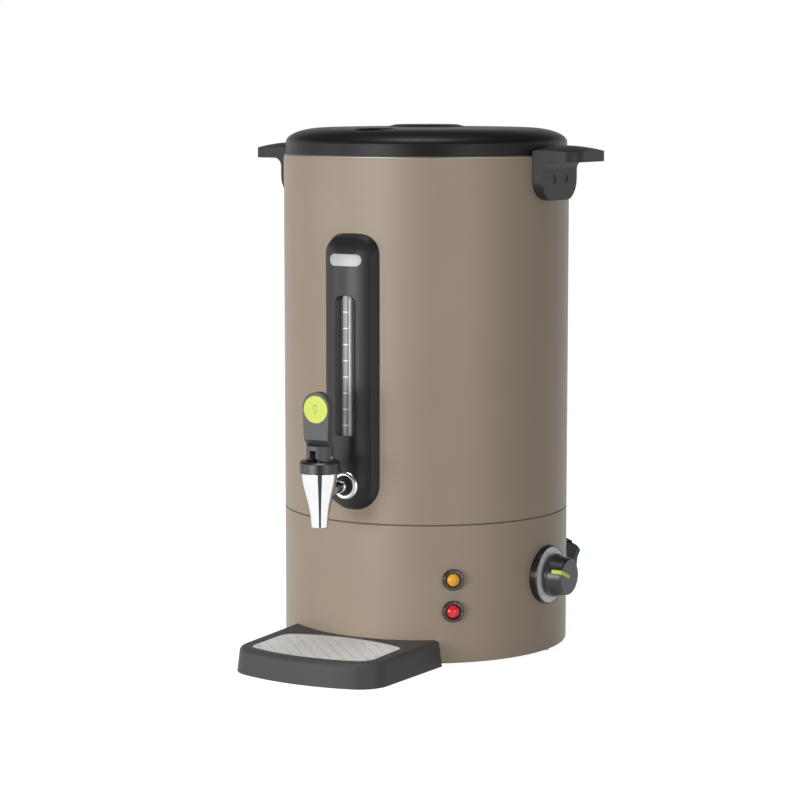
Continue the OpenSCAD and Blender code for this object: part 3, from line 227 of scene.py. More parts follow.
class TraySettings(bpy.types.PropertyGroup):
    half_width: length("Half width", 79.5, "Half of the tray's width behind the front corners")
    back_half_width: length("Back half width", 82, "Half of the tray's width at the casing")
    front: length("Front", 243, "Distance of the tray's front from the urn's axis")
    front_curve: length("Front curve", 200, "Radius of the curved front")
    corner: length("Corner", 30, "Radius of the front corners")
    height: length("Height", 23, "Height of the tray's front")
    slope: turn("Slope", 1.2, "Slope of the top towards the front")
    draft: length("Draft", 2.2, "How far the sides lean in")
    rounding: length("Rounding", 4.5, "Rounding of the upper edge")
    rim: length("Rim", 14, "Width of the rim round the grid")
    seat: length("Seat", 2, "Depth of the grid's seat")
    ledge: length("Ledge", 4, "Width of the ledge that carries the grid")
    rear: length("Rear", 141.5, "Distance of the seat's rear end from the urn's axis")
    rear_curve: length("Rear curve", 165, "Radius of the seat's rear end")
    rear_corner: length("Rear corner", 14, "Radius of the seat's rear corners")
    plastic: tint("Plastic", "#4c4c4d", "Colour of the tray")


class StageSettings(bpy.types.PropertyGroup):
    lens: length("Lens", 118.05, "Focal length on a 36 mm sensor")
    camera_x: length("Camera X", 1274.7, "Distance of the camera to the right of the urn's axis")
    camera_y: length("Camera Y", 2208.4, "Distance of the camera in front of the urn's axis")
    camera_z: length("Camera Z", 541.7, "Height of the camera")
    camera_turn: turn("Camera turn", 30.569, "Turn of the camera about the vertical")
    camera_tilt: turn("Camera tilt", 83.153, "Tilt of the camera from straight down")
    key: power("Key", 24, "Power of the key light")
    side: power("Side", 8.2, "Power of the side light")
    left: power("Left", 6.5, "Power of the far left light")
    top: power("Top", 16, "Power of the top light")
    ambient: FloatProperty(name="Ambient", default=0.11, min=0, description="Strength of the world as a light")


SETTINGS = {
    "urn_casing": CasingSettings,
    "urn_lid": LidSettings,
    "urn_gauge": GaugeSettings,
    "urn_tap": TapSettings,
    "urn_handles": HandleSettings,
    "urn_controls": ControlSettings,
    "urn_tray": TraySettings,
    "urn_stage": StageSettings,
}


# ---------------------------------------------------------------- outlines
def soften(points, steps=6):
    """A closed outline of (x, y) or (x, y, radius) points, with an arc at each corner that has a radius."""
    corners = [complex(p[0], p[1]) for p in points]
    outline = []
    for i, point in enumerate(points):
        here = corners[i]
        if len(point) < 3 or not point[2]:
            outline.append(here)
            continue
        before = corners[i - 1] - here
        after = corners[(i + 1) % len(corners)] - here
        before, after = before / abs(before), after / abs(after)
        half = abs(cmath.phase(after / before)) / 2
        middle = before + after
        centre = here + middle / abs(middle) * point[2] / math.sin(half)
        first = here + before * point[2] / math.tan(half) - centre
        last = here + after * point[2] / math.tan(half) - centre
        sweep = cmath.phase(last / first)
        outline += [centre + first * cmath.rect(1, sweep * k / steps) for k in range(steps + 1)]
    return [(p.real, p.imag) for p in outline]


def arc(centre, radius, start, end, steps):
    """Points of an arc between two angles in degrees."""
    angles = [math.radians(start + (end - start) * k / steps) for k in range(steps + 1)]
    return [(centre[0] + radius * math.cos(a), centre[1] + radius * math.sin(a)) for a in angles]


def sweep_curve(controls, steps):
    """Points of the cubic curve through four control points."""
    first, leave, arrive, last = (Vector(p) for p in controls)
    return [tuple(p) for p in interpolate_bezier(first, leave, arrive, last, steps)]


# ---------------------------------------------------------------- shapes
def outward(angle=0.0, height=0.0):
    """Turns what was made about Z so that it points out of the casing at an angle from the tap."""
    place = Matrix.Translation((0, 0, mm(height))) @ Matrix.Rotation(angle, 4, "Z")
    return place @ Matrix.Rotation(math.radians(90), 4, "X")


def upright(x=0.0, y=0.0):
    """Moves a shape sideways by millimetres."""
    return Matrix.Translation((mm(x), mm(y), 0))


def moved(bm, matrix):
    """The same shape in another place."""
    bmesh.ops.transform(bm, matrix=matrix, verts=bm.verts)
    return bm


def spun(outline, steps=SMALL_STEPS):
    """A turned solid about Z from a closed outline of (radius, height)."""
    bm = bmesh.new()
    verts = [bm.verts.new((mm(max(r, 0)), 0, mm(z))) for r, z in outline]
    edges = [bm.edges.new((a, b)) for a, b in zip(verts, verts[1:] + verts[:1])]
    bmesh.ops.spin(bm, geom=verts + edges, cent=(0, 0, 0), axis=(0, 0, 1), angle=math.tau, steps=steps,
                   use_merge=True, use_duplicate=False)
    bmesh.ops.remove_doubles(bm, verts=bm.verts, dist=MERGE)
    bmesh.ops.dissolve_degenerate(bm, edges=bm.edges, dist=MERGE)
    bmesh.ops.recalc_face_normals(bm, faces=bm.faces)
    return bm


def drum(radius, low, high, steps=SMALL_STEPS):
    """A plain turned block, as a tool for cutting."""
    return spun([(0, low), (radius, low), (radius, high), (0, high)], steps)


def thickened(bm, faces, height):
    """Level faces made a solid of that height."""
    raised = bmesh.ops.extrude_face_region(bm, geom=faces)["geom"]
    rise = [v for v in raised if isinstance(v, bmesh.types.BMVert)]
    bmesh.ops.translate(bm, vec=(0, 0, mm(height)), verts=rise)
    bmesh.ops.recalc_face_normals(bm, faces=bm.faces)
    return bm


def prism(outline, low, high):
    """A solid with a flat outline of (x, y), between two heights."""
    bm = bmesh.new()
    face = bm.faces.new([bm.verts.new((mm(x), mm(y), mm(low))) for x, y in outline])
    return thickened(bm, [face], high - low)


def lofted(sections):
    """A solid through several outlines of the same number of (x, y, z) points."""
    bm = bmesh.new()
    face = bm.faces.new([bm.verts.new([mm(part) for part in point]) for point in sections[0]])
    places = {vert: i for i, vert in enumerate(face.verts)}
    for section in sections[1:]:
        raised = bmesh.ops.extrude_face_region(bm, geom=[face])["geom"]
        if section is not sections[1]:
            bmesh.ops.delete(bm, geom=[face], context="FACES_ONLY")
        face = next(part for part in raised if isinstance(part, bmesh.types.BMFace))
        fresh = {}
        for vert in face.verts:
            below = next(e.other_vert(vert) for e in vert.link_edges if e.other_vert(vert) in places)
            fresh[vert] = places[below]
        for vert, i in fresh.items():
            vert.co = [mm(part) for part in section[i]]
        places = fresh
    bmesh.ops.recalc_face_normals(bm, faces=bm.faces)
    return bm


def block(width, depth, low, high, corner=0.0):
    """A box centred on Z, with rounded upright edges."""
    x, y = width / 2, depth / 2
    return prism(soften([(-x, -y, corner), (x, -y, corner), (x, y, corner), (-x, y, corner)]), low, high)


def from_solid(node, flat=1.0):
    """A welded copy of a CAD node's mesh, with its flat faces made whole."""
    bm = bmesh.new()
    bm.from_mesh(frame["nodes"][node].data)
    bmesh.ops.remove_doubles(bm, verts=bm.verts, dist=MERGE)
    bmesh.ops.dissolve_limit(bm, angle_limit=math.radians(flat), verts=bm.verts, edges=bm.edges)
    return bm


def joined(*parts):
    """Several shapes in one mesh."""
    whole = bmesh.new()
    for part in parts:
        mesh = bpy.data.meshes.new("part")
        part.to_mesh(mesh)
        part.free()
        whole.from_mesh(mesh)
        bpy.data.meshes.remove(mesh)
    return whole


def linked(name, data):
    """A new object in the scene."""
    holder = bpy.data.objects.new(name, data)
    bpy.context.scene.collection.objects.link(holder)
    return holder


def solid(name, bm):
    """A new object in the scene that holds a shape."""
    mesh = bpy.data.meshes.new(name)
    bm.to_mesh(mesh)
    bm.free()
    return linked(name, mesh)


def worked(bm, *tools, operation="DIFFERENCE"):
    """The shape after each tool has cut it, joined it or kept what it covers."""
    base = solid("scratch", bm)
    scratch = [base]
    for tool in tools:
        cutter = solid("scratch", tool)
        scratch.append(cutter)
        cut = base.modifiers.new("cut", "BOOLEAN")
        cut.object, cut.operation, cut.solver = cutter, operation, "EXACT"
    bpy.context.view_layer.update()
    result = bmesh.new()
    result.from_object(base, bpy.context.evaluated_depsgraph_get())
    if len(result.faces) == 0:
        raise RuntimeError("a cut left nothing of its shape")
    for used in scratch:
        mesh = used.data
        bpy.data.objects.remove(used)
        bpy.data.meshes.remove(mesh)
    return result


def casing_tool(gap=0.0):
    """The casing's outside as a tool that fits a piece to it."""
    return drum(CASING_HIGH.x + gap, -50, 600, CURVE_STEPS * 2)


def finish_piece(name, bm, nodes=(), material=None, body="urn", slot=None, place=None, bevel=0.0, sharp=32):
    """Makes a shape a piece of the urn: placed, shaded, bevelled and tied to its body. The CAD nodes that it stands
    for are hidden, and it takes the finish of their material slot unless another slot or finish is given."""
    slot = slot or NODE_SLOT[nodes[0]]
    if place is not None:
        moved(bm, place)
    bmesh.ops.remove_doubles(bm, verts=bm.verts, dist=MERGE)
    piece = solid(name, bm)
    mesh = piece.data
    mesh.shade_smooth()
    if bevel:
        edge = piece.modifiers.new("Rounded edges", "BEVEL")
        edge.width, edge.segments, edge.limit_method = mm(bevel), 3, "ANGLE"
        edge.angle_limit = math.radians(sharp)
        edge.use_clamp_overlap = True
    else:
        mesh.set_sharp_from_angle(angle=math.radians(sharp))
    # The large faces stay flat to the light beside the small roundings
    piece.modifiers.new("Flat faces", "WEIGHTED_NORMAL").keep_sharp = True
    mesh.materials.append(finish(material or SLOT_FINISH[slot]))
    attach(piece, body)
    if nodes:
        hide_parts(*nodes)
    return piece


# ---------------------------------------------------------------- finishes
def add(tree, kind, links=None, **settings):
    """Adds one shader node with its settings, and fills its inputs with values or other nodes' outputs."""
    node = tree.nodes.new("ShaderNode" + kind)
    for key, value in settings.items():
        setattr(node, key, value)
    for key, value in (links or {}).items():
        if isinstance(value, bpy.types.NodeSocket):
            tree.links.new(value, node.inputs[key])
        else:
            node.inputs[key].default_value = value
    return node


def shade(colour, factor):
    """A colour made lighter or darker, as a ramp takes it."""
    return [min(1.0, part * factor) for part in colour] + [1.0]


def new_tree(name):
    """An empty material's node tree, its output, and its coordinates."""
    material = bpy.data.materials.new(name)
    material.use_nodes = True
    tree = material.node_tree
    tree.nodes.clear()
    return material, tree, add(tree, "OutputMaterial"), add(tree, "TexCoord").outputs["Object"]


def grained(name, colour, rough, clouds, grain, vary, ior=1.5, stretch=(1, 1, 1), detail=2.0, turned=False,
            **shader):
    """A surface with cloudy colour, fine relief and uneven roughness, the relief drawn out along an axis if asked.
    The clouds have their strength and size and the grain its size and depth, both in millimetres."""
    if isinstance(colour, str):
        colour = linear(colour)
    strength, cloud_size = clouds
    grain_size, depth = grain
    material, tree, output, place = new_tree(name)
    if turned:
        # Lines round the axis: the pattern reads the distance from the axis and the height only
        apart = add(tree, "SeparateXYZ", {"Vector": place})
        level = add(tree, "CombineXYZ", {"X": apart.outputs["X"], "Y": apart.outputs["Y"]})
        radius = add(tree, "VectorMath", {0: level.outputs["Vector"]}, operation="LENGTH")
        place = add(tree, "CombineXYZ", {"X": radius.outputs["Value"], "Z": apart.outputs["Z"]}).outputs["Vector"]
    drawn = add(tree, "Mapping", {"Vector": place, "Scale": stretch})
    clouds = add(tree, "TexNoise", {"Vector": place, "Scale": 1000 / cloud_size, "Detail": 3.0})
    tones = add(tree, "ValToRGB", {"Fac": clouds.outputs["Fac"]})
    tones.color_ramp.elements[0].position, tones.color_ramp.elements[1].position = 0.3, 0.7
    tones.color_ramp.elements[0].color = shade(colour, 1 - strength)
    tones.color_ramp.elements[1].color = shade(colour, 1 + strength)
    pattern = add(tree, "TexNoise", {"Vector": drawn.outputs["Vector"], "Scale": 1000 / grain_size,
                                     "Detail": detail}).outputs["Fac"]
    uneven = add(tree, "MapRange", {"Value": pattern, "From Min": 0.25, "From Max": 0.75,
                                    "To Min": max(0.02, rough - vary), "To Max": rough + vary})
    relief = add(tree, "Bump", {"Height": pattern, "Strength": 1.0, "Distance": mm(depth)})
    surface = add(tree, "BsdfPrincipled", {
        "Base Color": tones.outputs["Color"], "Roughness": uneven.outputs["Result"],
        "Normal": relief.outputs["Normal"], "IOR": ior, **shader})
    tree.links.new(surface.outputs["BSDF"], output.inputs["Surface"])
    return material


# What several finishes share
METAL = {"Metallic": 1.0}
SATIN = {"Specular IOR Level": 0.3}


def skin(*values, **shader):
    """One finish, as the values that grained() takes after its name."""
    return values, shader


def finish_table(scene):
    """Each finish by name: the real material, how it was made, and what that gives the eye."""
    urn, lid, gauge, tap = scene.urn_casing, scene.urn_lid, scene.urn_gauge, scene.urn_tap
    handles, controls, tray = scene.urn_handles, scene.urn_controls, scene.urn_tray
    return {
        # Sprayed and baked polyester powder on steel: satin, with a faint orange peel about 2 mm across
        "powder coat": skin(urn.paint, 0.42, (0.02, 70), (2.6, 0.012), 0.03, 1.5, **SATIN),
        # Injection-moulded polypropylene with a polished mould: soft gloss, hardly any grain
        "polished polypropylene": skin(lid.plastic, 0.42, (0.06, 50), (3.0, 0.003), 0.04, 1.49,
                                       **{"Specular IOR Level": 0.22}),
        # Moulded ABS with a fine spark-eroded skin: satin
        "satin abs": skin(gauge.plastic, 0.4, (0.06, 40), (1.2, 0.008), 0.05, 1.53, **SATIN),
        # Glass-filled polyamide with an eroded skin: matt, its grain drawn at 1.4 mm so that it shows
        "textured polyamide": skin(handles.plastic, 0.5, (0.07, 30), (1.4, 0.02), 0.06, 1.53, **SATIN),
        "nylon head": skin("#232324", 0.5, (0.07, 6), (0.8, 0.01), 0.06, 1.53, **SATIN),
        # The same polyamide on the lever, worn a little paler by hands
        "lever polyamide": skin("#484848", 0.5, (0.06, 25), (1.2, 0.02), 0.06, 1.53),
        # Soft PVC strip between the shells, dyed to go with the paint
        "taupe pvc": skin("#51483e", 0.6, (0.08, 20), (1.0, 0.01), 0.06, 1.52),
        "tray polypropylene": skin(tray.plastic, 0.5, (0.05, 40), (1.6, 0.012), 0.05, 1.49,
                                   **{"Specular IOR Level": 0.2}),
        # Phenolic moulding: black, hard and glossy
        "glossy phenolic": skin("#1b1b1c", 0.2, (0.08, 20), (1.5, 0.006), 0.05, 1.55),
        "black nylon": skin("#141415", 0.5, (0.07, 12), (0.9, 0.01), 0.05, 1.53, **SATIN),
        "satin phenolic": skin("#242425", 0.33, (0.08, 18), (0.9, 0.008), 0.06, 1.55),
        # Vulcanised rubber: dull, with a bloom of paler patches
        "black rubber": skin("#202020", 0.75, (0.15, 14), (0.8, 0.03), 0.1, 1.52),
        "grey silicone": skin("#4a4a4a", 0.6, (0.08, 25), (1.0, 0.02), 0.08, 1.41),
        "white silicone": skin("#c9c3b4", 0.5, (0.05, 8), (0.6, 0.01), 0.08, 1.41),
        # Deep-drawn 304 stainless steel, brushed round the axis
        "spun stainless": skin("#808182", 0.42, (0.04, 60), (0.9, 0.012), 0.1, turned=True, **METAL),
        # Perforated 304 sheet, brushed along its width before it was punched; its near-white, barely metallic colour
        # is painted reflection, standing in for the white that the steel reflects
        "brushed stainless with painted reflection": skin("#f8f8f7", 0.5, (0.02, 40), (0.7, 0.006), 0.08, stretch=(0.03, 1, 1), Metallic=0.1),
        # Zinc-plated mild steel: a pale, slightly cloudy metal
        "zinc plate": skin("#a6a8a9", 0.42, (0.12, 12), (2.0, 0.01), 0.1, **METAL),
        "dark steel": skin("#6f7072", 0.35, (0.1, 6), (0.6, 0.008), 0.1, **METAL),
        "black oxide steel": skin("#4a4b4d", 0.42, (0.1, 4), (0.6, 0.006), 0.1, **METAL),
        # Bright nickel-chrome plate on brass: a mirror with the faintest waves
        "chrome plate": skin("#e6e7e8", 0.06, (0.02, 20), (9.0, 0.0008), 0.02, detail=0.0, **METAL),
        # The same plate over a blasted ring: it gathers light where the mirror would show the dark cover
        "satin chrome plate": skin("#e6e7e8", 0.3, (0.02, 6), (0.5, 0.001), 0.05, **METAL),
        # Satin chrome, brushed lengthwise, on the badge
        "satin chrome": skin("#acadae", 0.5, (0.03, 10), (0.5, 0.004), 0.08, stretch=(0.05, 1, 1), Metallic=0.3),
        "turned brass": skin("#c9a55a", 0.3, (0.08, 10), (0.7, 0.008), 0.1, **METAL),
        "drawn copper": skin("#b8704a", 0.35, (0.12, 12), (0.8, 0.008), 0.1, **METAL),
        # Die-cast aluminium: grey with a sandy skin
        "cast aluminium": skin("#b0b2b5", 0.5, (0.08, 10), (0.9, 0.04), 0.08, **METAL),
        # Silvered foil lacquered on aluminium, under the dial's numbers
        "silvered dial": skin("#f8f8f7", 0.4, (0.02, 9), (0.5, 0.002), 0.05, 1.5),
        "printing ink": skin("#a2a6a8", 0.5, (0.06, 3), (0.5, 0.004), 0.05, 1.5),
        "white ink": skin("#f2f2f0", 0.45, (0.02, 3), (0.5, 0.004), 0.05, 1.5),
        "grey scale film": skin("#939596", 0.35, (0.05, 12), (0.6, 0.004), 0.06, 1.5),
        # Moulded PVC inlay: bright and satin
        "lime pvc": skin(tap.lime, 0.4, (0.03, 10), (0.9, 0.008), 0.05, 1.53),
        "lime print": skin("#aab545", 0.5, (0.05, 5), (0.6, 0.004), 0.05, 1.53),
        "cream polyamide": skin("#d8d4c8", 0.5, (0.05, 15), (0.9, 0.02), 0.06, 1.53),
        "red button": skin("#bf2a22", 0.3, (0.05, 4), (0.6, 0.006), 0.05, 1.53),
        "brown pvc": skin("#5a3b28", 0.45, (0.1, 8), (0.8, 0.01), 0.06, 1.53),
        # Tinted acrylic: deep colour under a wet gloss
        "amber acrylic": skin(controls.amber, 0.14, (0.05, 4), (1.6, 0.008), 0.04, 1.49),
        "red acrylic": skin(controls.red, 0.14, (0.05, 4), (1.6, 0.008), 0.04, 1.49),
        "green acrylic": skin(controls.green, 0.15, (0.1, 8), (1.2, 0.01), 0.05, 1.49),
        # Blown borosilicate or acrylic tube with a faint haze; its near-white colour is painted reflection, standing
        # in for the white that the clear glass reflects, so little light goes through
        "tube with painted reflection": skin("#f4f8f8", 0.08, (0.02, 20), (8, 0.002), 0.02, 1.49, **{"Transmission Weight": 0.15}),
    }


def finish(name):
    """The material of that name, made when it is first asked for."""
    values, shader = finish_table(bpy.context.scene)[name]
    return bpy.data.materials.get(name) or grained(name, *values, **shader)


SLOT_FINISH = {
    "casing_paint": "powder coat",
    "joint_plastic": "taupe pvc",
    "tank_steel": "spun stainless",
    "gasket_rubber": "grey silicone",
    "lid_plastic": "polished polypropylene",
    "zinc_plate": "zinc plate",
    "plated_screws": "zinc plate",
    "foot_rubber": "black rubber",
    "heater_aluminium": "cast aluminium",
    "element_sheath": "dark steel",
    "control_plastic": "cream polyamide",
    "shaft_steel": "zinc plate",
    "sensor_copper": "drawn copper",
    "bezel_plastic": "glossy phenolic",
    "dial_silver": "silvered dial",
    "knob_plastic": "satin phenolic",
    "lime_inlay": "lime pvc",
    "reset_red": "red button",
    "wire_brown": "brown pvc",
    "amber_lens": "amber acrylic",
    "red_lens": "red acrylic",
    "switch_plastic": "satin phenolic",
    "rocker_green": "green acrylic",
    "brass_parts": "turned brass",
    "gland_plastic": "textured polyamide",
    "handle_plastic": "textured polyamide",
    "handle_screws": "black oxide steel",
    "cover_plastic": "satin abs",
    "badge_silver": "satin chrome",
    # The sight tube's near-white colour is painted reflection
    "tube_clear": "tube with painted reflection",
    "scale_print": "grey scale film",
    "seal_rubber": "black rubber",
    "tap_chrome": "chrome plate",
    "bonnet_plastic": "satin phenolic",
    "cup_silicone": "white silicone",
    "spring_steel": "dark steel",
    "pin_steel": "chrome plate",
    "lever_plastic": "lever polyamide",
    "tray_plastic": "tray polypropylene",
    # The grid's near-white colour is painted reflection
    "grid_steel": "brushed stainless with painted reflection",
}


# ---------------------------------------------------------------- pieces
def build_frame_finishes():
    """Gives every CAD node the finish of its material slot."""
    for name, slot in NODE_SLOT.items():
        materials = frame["nodes"][name].data.materials
        materials.clear()
        materials.append(finish(SLOT_FINISH[slot]))


def shell(s, low, high, flange_high):
    """Outline of a rolled shell with a flange turned in at one end."""
    inner, lip = s.radius - s.sheet, s.radius - s.flange
    if flange_high:
        return soften([
            (s.radius, low, s.edge), (s.radius, high, 2 * s.edge), (lip, high, s.edge / 2),
            (lip, high - s.sheet, s.edge / 2), (inner, high - s.sheet), (inner, low, s.edge / 2)])
    return soften([
        (s.radius, high, s.edge), (inner, high, s.edge / 2), (inner, low + s.sheet),
        (lip, low + s.sheet, s.edge / 2), (lip, low, s.edge / 2), (s.radius, low, 2 * s.edge)])


def build_casing(s, controls):
    """The tall upper shell, and the base band under it with the opening behind the rocker switch."""
    upper = spun(shell(s, CASING_LOW.z, CASING_HIGH.z, True), CURVE_STEPS * 2)
    finish_piece("casing_shell", upper, ["outer_casing"])
    band = spun(shell(s, BAND_LOW.z, BAND_HIGH.z, False), CURVE_STEPS * 2)
    wide, tall = (side + 0.4 for side in SWITCH_BODY)
    opening = moved(block(wide, tall, 115, 160), outward(controls.switch_turn, controls.switch_place))
    finish_piece("base_shell", worked(band, opening), ["base_band"])


def build_lid(s):
    """The lid with its shoulder, the low disc in the middle and the vent's recess."""
    edge = LID_LOW.z + s.edge_height
    top = edge + s.shoulder_height
    crown = top + s.crown

    def outline(wall, low):
        """Half of the lid's section, without its wall's thickness."""
        reach = s.radius - wall
        bend = sweep_curve([
            (s.radius - s.shoulder_width, top - wall), (s.radius - s.shoulder_width * 0.42, top - wall),
            (reach, top - s.shoulder_height * 0.45 - wall / 2), (reach, edge)], 28)
        return [(0, crown - wall), *bend, (reach, low), (0, low)]

    disc = soften([(0, crown - 1), (s.disc_radius, crown - 1), (s.disc_radius, crown - 0.3, 0.3),
                   (s.disc_radius - 7, LID_HIGH.z, 12), (0, LID_HIGH.z)])
    vent_floor = top - s.vent_depth
    pocket = drum(s.vent_radius + s.wall, vent_floor - s.wall, top + 40)
    hollow = worked(spun(outline(s.wall, LID_LOW.z - 1), CURVE_STEPS), moved(pocket, upright(y=-s.vent_place)))
    vent = moved(drum(s.vent_radius, vent_floor, top + 40), upright(y=-s.vent_place))
    hole, ring = 1.6, s.vent_radius * 0.56
    holes = []
    for k in range(6):
        a = math.radians(60 * k)
        place = upright(math.cos(a) * ring, math.sin(a) * ring - s.vent_place)
        holes.append(moved(drum(hole, vent_floor - 20, vent_floor + 20, SMALL_STEPS // 4), place))
    solid = worked(spun(outline(0, LID_LOW.z), CURVE_STEPS), spun(disc, CURVE_STEPS), operation="UNION")
    cover = worked(solid, hollow, vent, *holes)
    finish_piece("lid_moulding", cover, ["lid"], body="lid", bevel=0.8)


def cover_blank(s):
    """The cover as a long block with arched ends, whose front is crowned all round."""
    half, middle = s.width / 2, (s.top + s.bottom) / 2
    lean = half - s.face_width / 2
    bow = ((s.face_width / 2) ** 2 + s.crown**2) / (2 * s.crown)

    def ring(inset, depth):
        """The cover's outline at a depth, moved inwards."""
        ends = []
        for reach, corner in ((middle - s.bottom, s.lower_corner), (s.top - middle, s.corner)):
            # Past its corner's radius an end shrinks with its corners kept
            extra = max(0, inset - corner + 1)
            ends.append(arched_end(half - extra, reach - extra, s.end_curve, corner, inset - extra))
        whole = mirrored(ends[0] + [(x, -z) for x, z in reversed(ends[1])])
        return [(x, -depth, middle + z) for x, z in whole]

    sections = [ring(0, 128), ring(0, CASING_HIGH.x - 1), ring(lean, s.front - s.crown)]
    for inset in (1.5, 3, 5, 7.5, 10, 13, 16, 19, 22):
        fall = bow - math.sqrt(bow**2 - (s.face_width / 2 - inset) ** 2)
        sections.append(ring(lean + inset, s.front - fall))
    return lofted(sections)


def build_cover(s, tap):
    """The black column cover with its groove, and the tap's round seat in it."""
    # The groove's sides slope down to the tube; its lower end is a square ledge
    deep, beyond = s.groove_floor, s.front + 8.5
    reach = (beyond - deep) / (s.front - deep)
    sections = []
    for place, share in ((deep, 0.0), (beyond, reach)):
        half = (s.groove_foot + (s.groove_width - s.groove_foot) * share) / 2
        top = s.groove_top - 1.5 + 2 * share - half / 2
        sections.append([(-half, -place, s.groove_bottom), (half, -place, s.groove_bottom)]
                        + [(x, -place, top + z / 2) for x, z in arc((0, 0), half, 0, 180, 32)])
    groove = lofted(sections)
    seat = moved(drum(tap.ring_radius + 1, tap.ring_seat, s.front + 20), outward(0, tap.outlet))
    way = moved(drum(6.2, 100, s.front + 20), outward(0, tap.outlet))
    channel = moved(drum(s.tube_radius + 0.6, tap.outlet, s.groove_top + 15), upright(y=-s.tube_place))
    cover = worked(cover_blank(s), casing_tool(0.3), groove, seat, way, channel)
    finish_piece("column_cover", cover, ["gauge_cover"], bevel=0.7)
    finish_piece("cover_badge", from_solid("gauge_badge"), ["gauge_badge"], bevel=0.25)


def part_ring(radius, thickness, low, high, half_turn):
    """An upright strip of a tube's wall, centred on the tap's side."""
    bm = bmesh.new()
    corners = [(radius, low), (radius + thickness, low), (radius + thickness, high), (radius, high)]
    face = bm.faces.new([bm.verts.new((mm(r), 0, mm(z))) for r, z in corners])
    bmesh.ops.rotate(bm, cent=(0, 0, 0), matrix=Matrix.Rotation(-math.pi / 2 - half_turn, 3, "Z"), verts=bm.verts)
    bmesh.ops.spin(bm, geom=[face], cent=(0, 0, 0), axis=(0, 0, 1), angle=2 * half_turn, steps=SMALL_STEPS // 4,
                   use_merge=False, use_duplicate=False)
    bmesh.ops.recalc_face_normals(bm, faces=bm.faces)
    return bm


def build_scale(s):
    """The grey strip on the sight tube, and its white marks."""
    strip = part_ring(s.tube_radius, 0.35, s.groove_bottom - 2, s.groove_top + 3, math.radians(36))
    place = upright(y=-s.tube_place)
    finish_piece("scale_strip", strip, ["sight_scale"], place=place)
    step = (s.last_mark - s.first_mark) / (s.marks - 1)
    marks = joined(*[
        part_ring(s.tube_radius + 0.3, 0.2, s.first_mark + i * step - 0.6, s.first_mark + i * step + 0.6,
                  math.radians(34))
        for i in range(s.marks)
    ])
    finish_piece("scale_marks", marks, material="white ink", slot="scale_print", place=place)


def build_tap(s):
    """The chromed body with its shank, the ring on the cover, and the black bonnet."""
    curve = sweep_curve([
        (s.head_radius, s.head - 3), (s.head_radius - 1.2, s.head - 18), (s.mouth_radius + 1, s.outlet - 10),
        (s.mouth_radius, s.mouth + 0.9)], 32)
    chamber, neck, stem, seat = 8.6, 12.0, 5.8, s.outlet - 5.5
    body = soften([
        (neck, s.head, 0.2), (s.head_radius, s.head, 0.5), *curve, (s.mouth_radius, s.mouth, 0.8),
        (s.bore_radius, s.mouth, 0.8), (s.bore_radius, seat), (chamber, seat), (chamber, s.head - 6),
        (neck, s.head - 6)])
    shank = moved(drum(stem, 130, s.place - 10, 64), outward(0, s.outlet))
    spout = worked(moved(spun(body, CURVE_STEPS), upright(y=-s.place)), shank, operation="UNION")
    finish_piece("tap_spout", spout, ["tap_body"], bevel=0.8, sharp=40)

    # The ring's section is a half round, wide outside and steep inside
    inner, middle, rise = 9.05, 9.9, 2.8
    ring = [(inner, s.ring_seat), (s.ring_radius, s.ring_seat)]
    for k in range(17):
        a = math.pi * k / 16
        wide = s.ring_radius - middle if a < math.pi / 2 else middle - inner
        ring.append((middle + wide * math.cos(a), s.ring_seat + 0.4 + rise * math.sin(a)))
    finish_piece("tap_collar", spun(ring), ["tap_ring"], "satin chrome plate", place=outward(0, s.outlet))

    foot, hole, plug, slant = s.head - 5.9, 3.05, 11.95, 1.5
    bonnet = soften([
        (hole, foot), (plug, foot), (plug, s.head), (s.bonnet_radius, s.head, 0.6),
        (s.bonnet_radius, s.bonnet_top - slant, 0.6), (s.bonnet_radius - slant, s.bonnet_top, 0.6),
        (hole, s.bonnet_top, 0.3)], 4)
    finish_piece("bonnet_moulding", spun(bonnet, CURVE_STEPS), ["tap_bonnet"], place=upright(y=-s.place))

    # The real spring shortens between the bonnet and the rising cup; here it only gets a mesh of its own
    spring = finish_piece("valve_spring", from_solid("tap_spring", 0.1), ["tap_spring"])
    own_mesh(spring)


def drop_outline(size):
    """A plain water drop, its point upwards."""
    points, steps = [], SMALL_STEPS // 3
    for k in range(steps):
        t = math.tau * k / steps
        points.append((size * 0.62 * math.sin(t) * math.sin(t / 2) ** 1.4, -size * math.cos(t)))
    return points


def build_lever(s):
    """The lever's moulding, the coloured disc in its paddle and the drop printed on it."""
    finish_piece("lever_moulding", from_solid("tap_lever"), ["tap_lever"], body="lever", bevel=0.9)
    back, face = s.disc_front - 0.6, s.disc_front + 0.25
    disc = soften([(0, back), (s.disc_radius, back), (s.disc_radius, face, 0.35), (s.disc_radius - 1.6, face + 0.15),
                   (0, face + 0.25)], 4)
    finish_piece("lever_badge", spun(disc), ["lever_disc"], body="lever", place=outward(0, s.disc_place))
    bm = bmesh.new()
    loops = []
    for size in (4.6, 3.7):
        verts = [bm.verts.new((mm(x), mm(y), 0)) for x, y in drop_outline(size)]
        loops += [bm.edges.new(pair) for pair in zip(verts, verts[1:] + verts[:1])]
    bmesh.ops.remove_doubles(bm, verts=bm.verts, dist=MERGE)
    faces = bmesh.ops.bridge_loops(bm, edges=[e for e in loops if e.is_valid])["faces"]
    finish_piece("lever_drop", thickened(bm, faces, 0.3), material="lime print", body="lever", slot="lime_inlay",
                 place=outward(0, s.disc_place) @ Matrix.Translation((0, 0, mm(face + 0.1))))


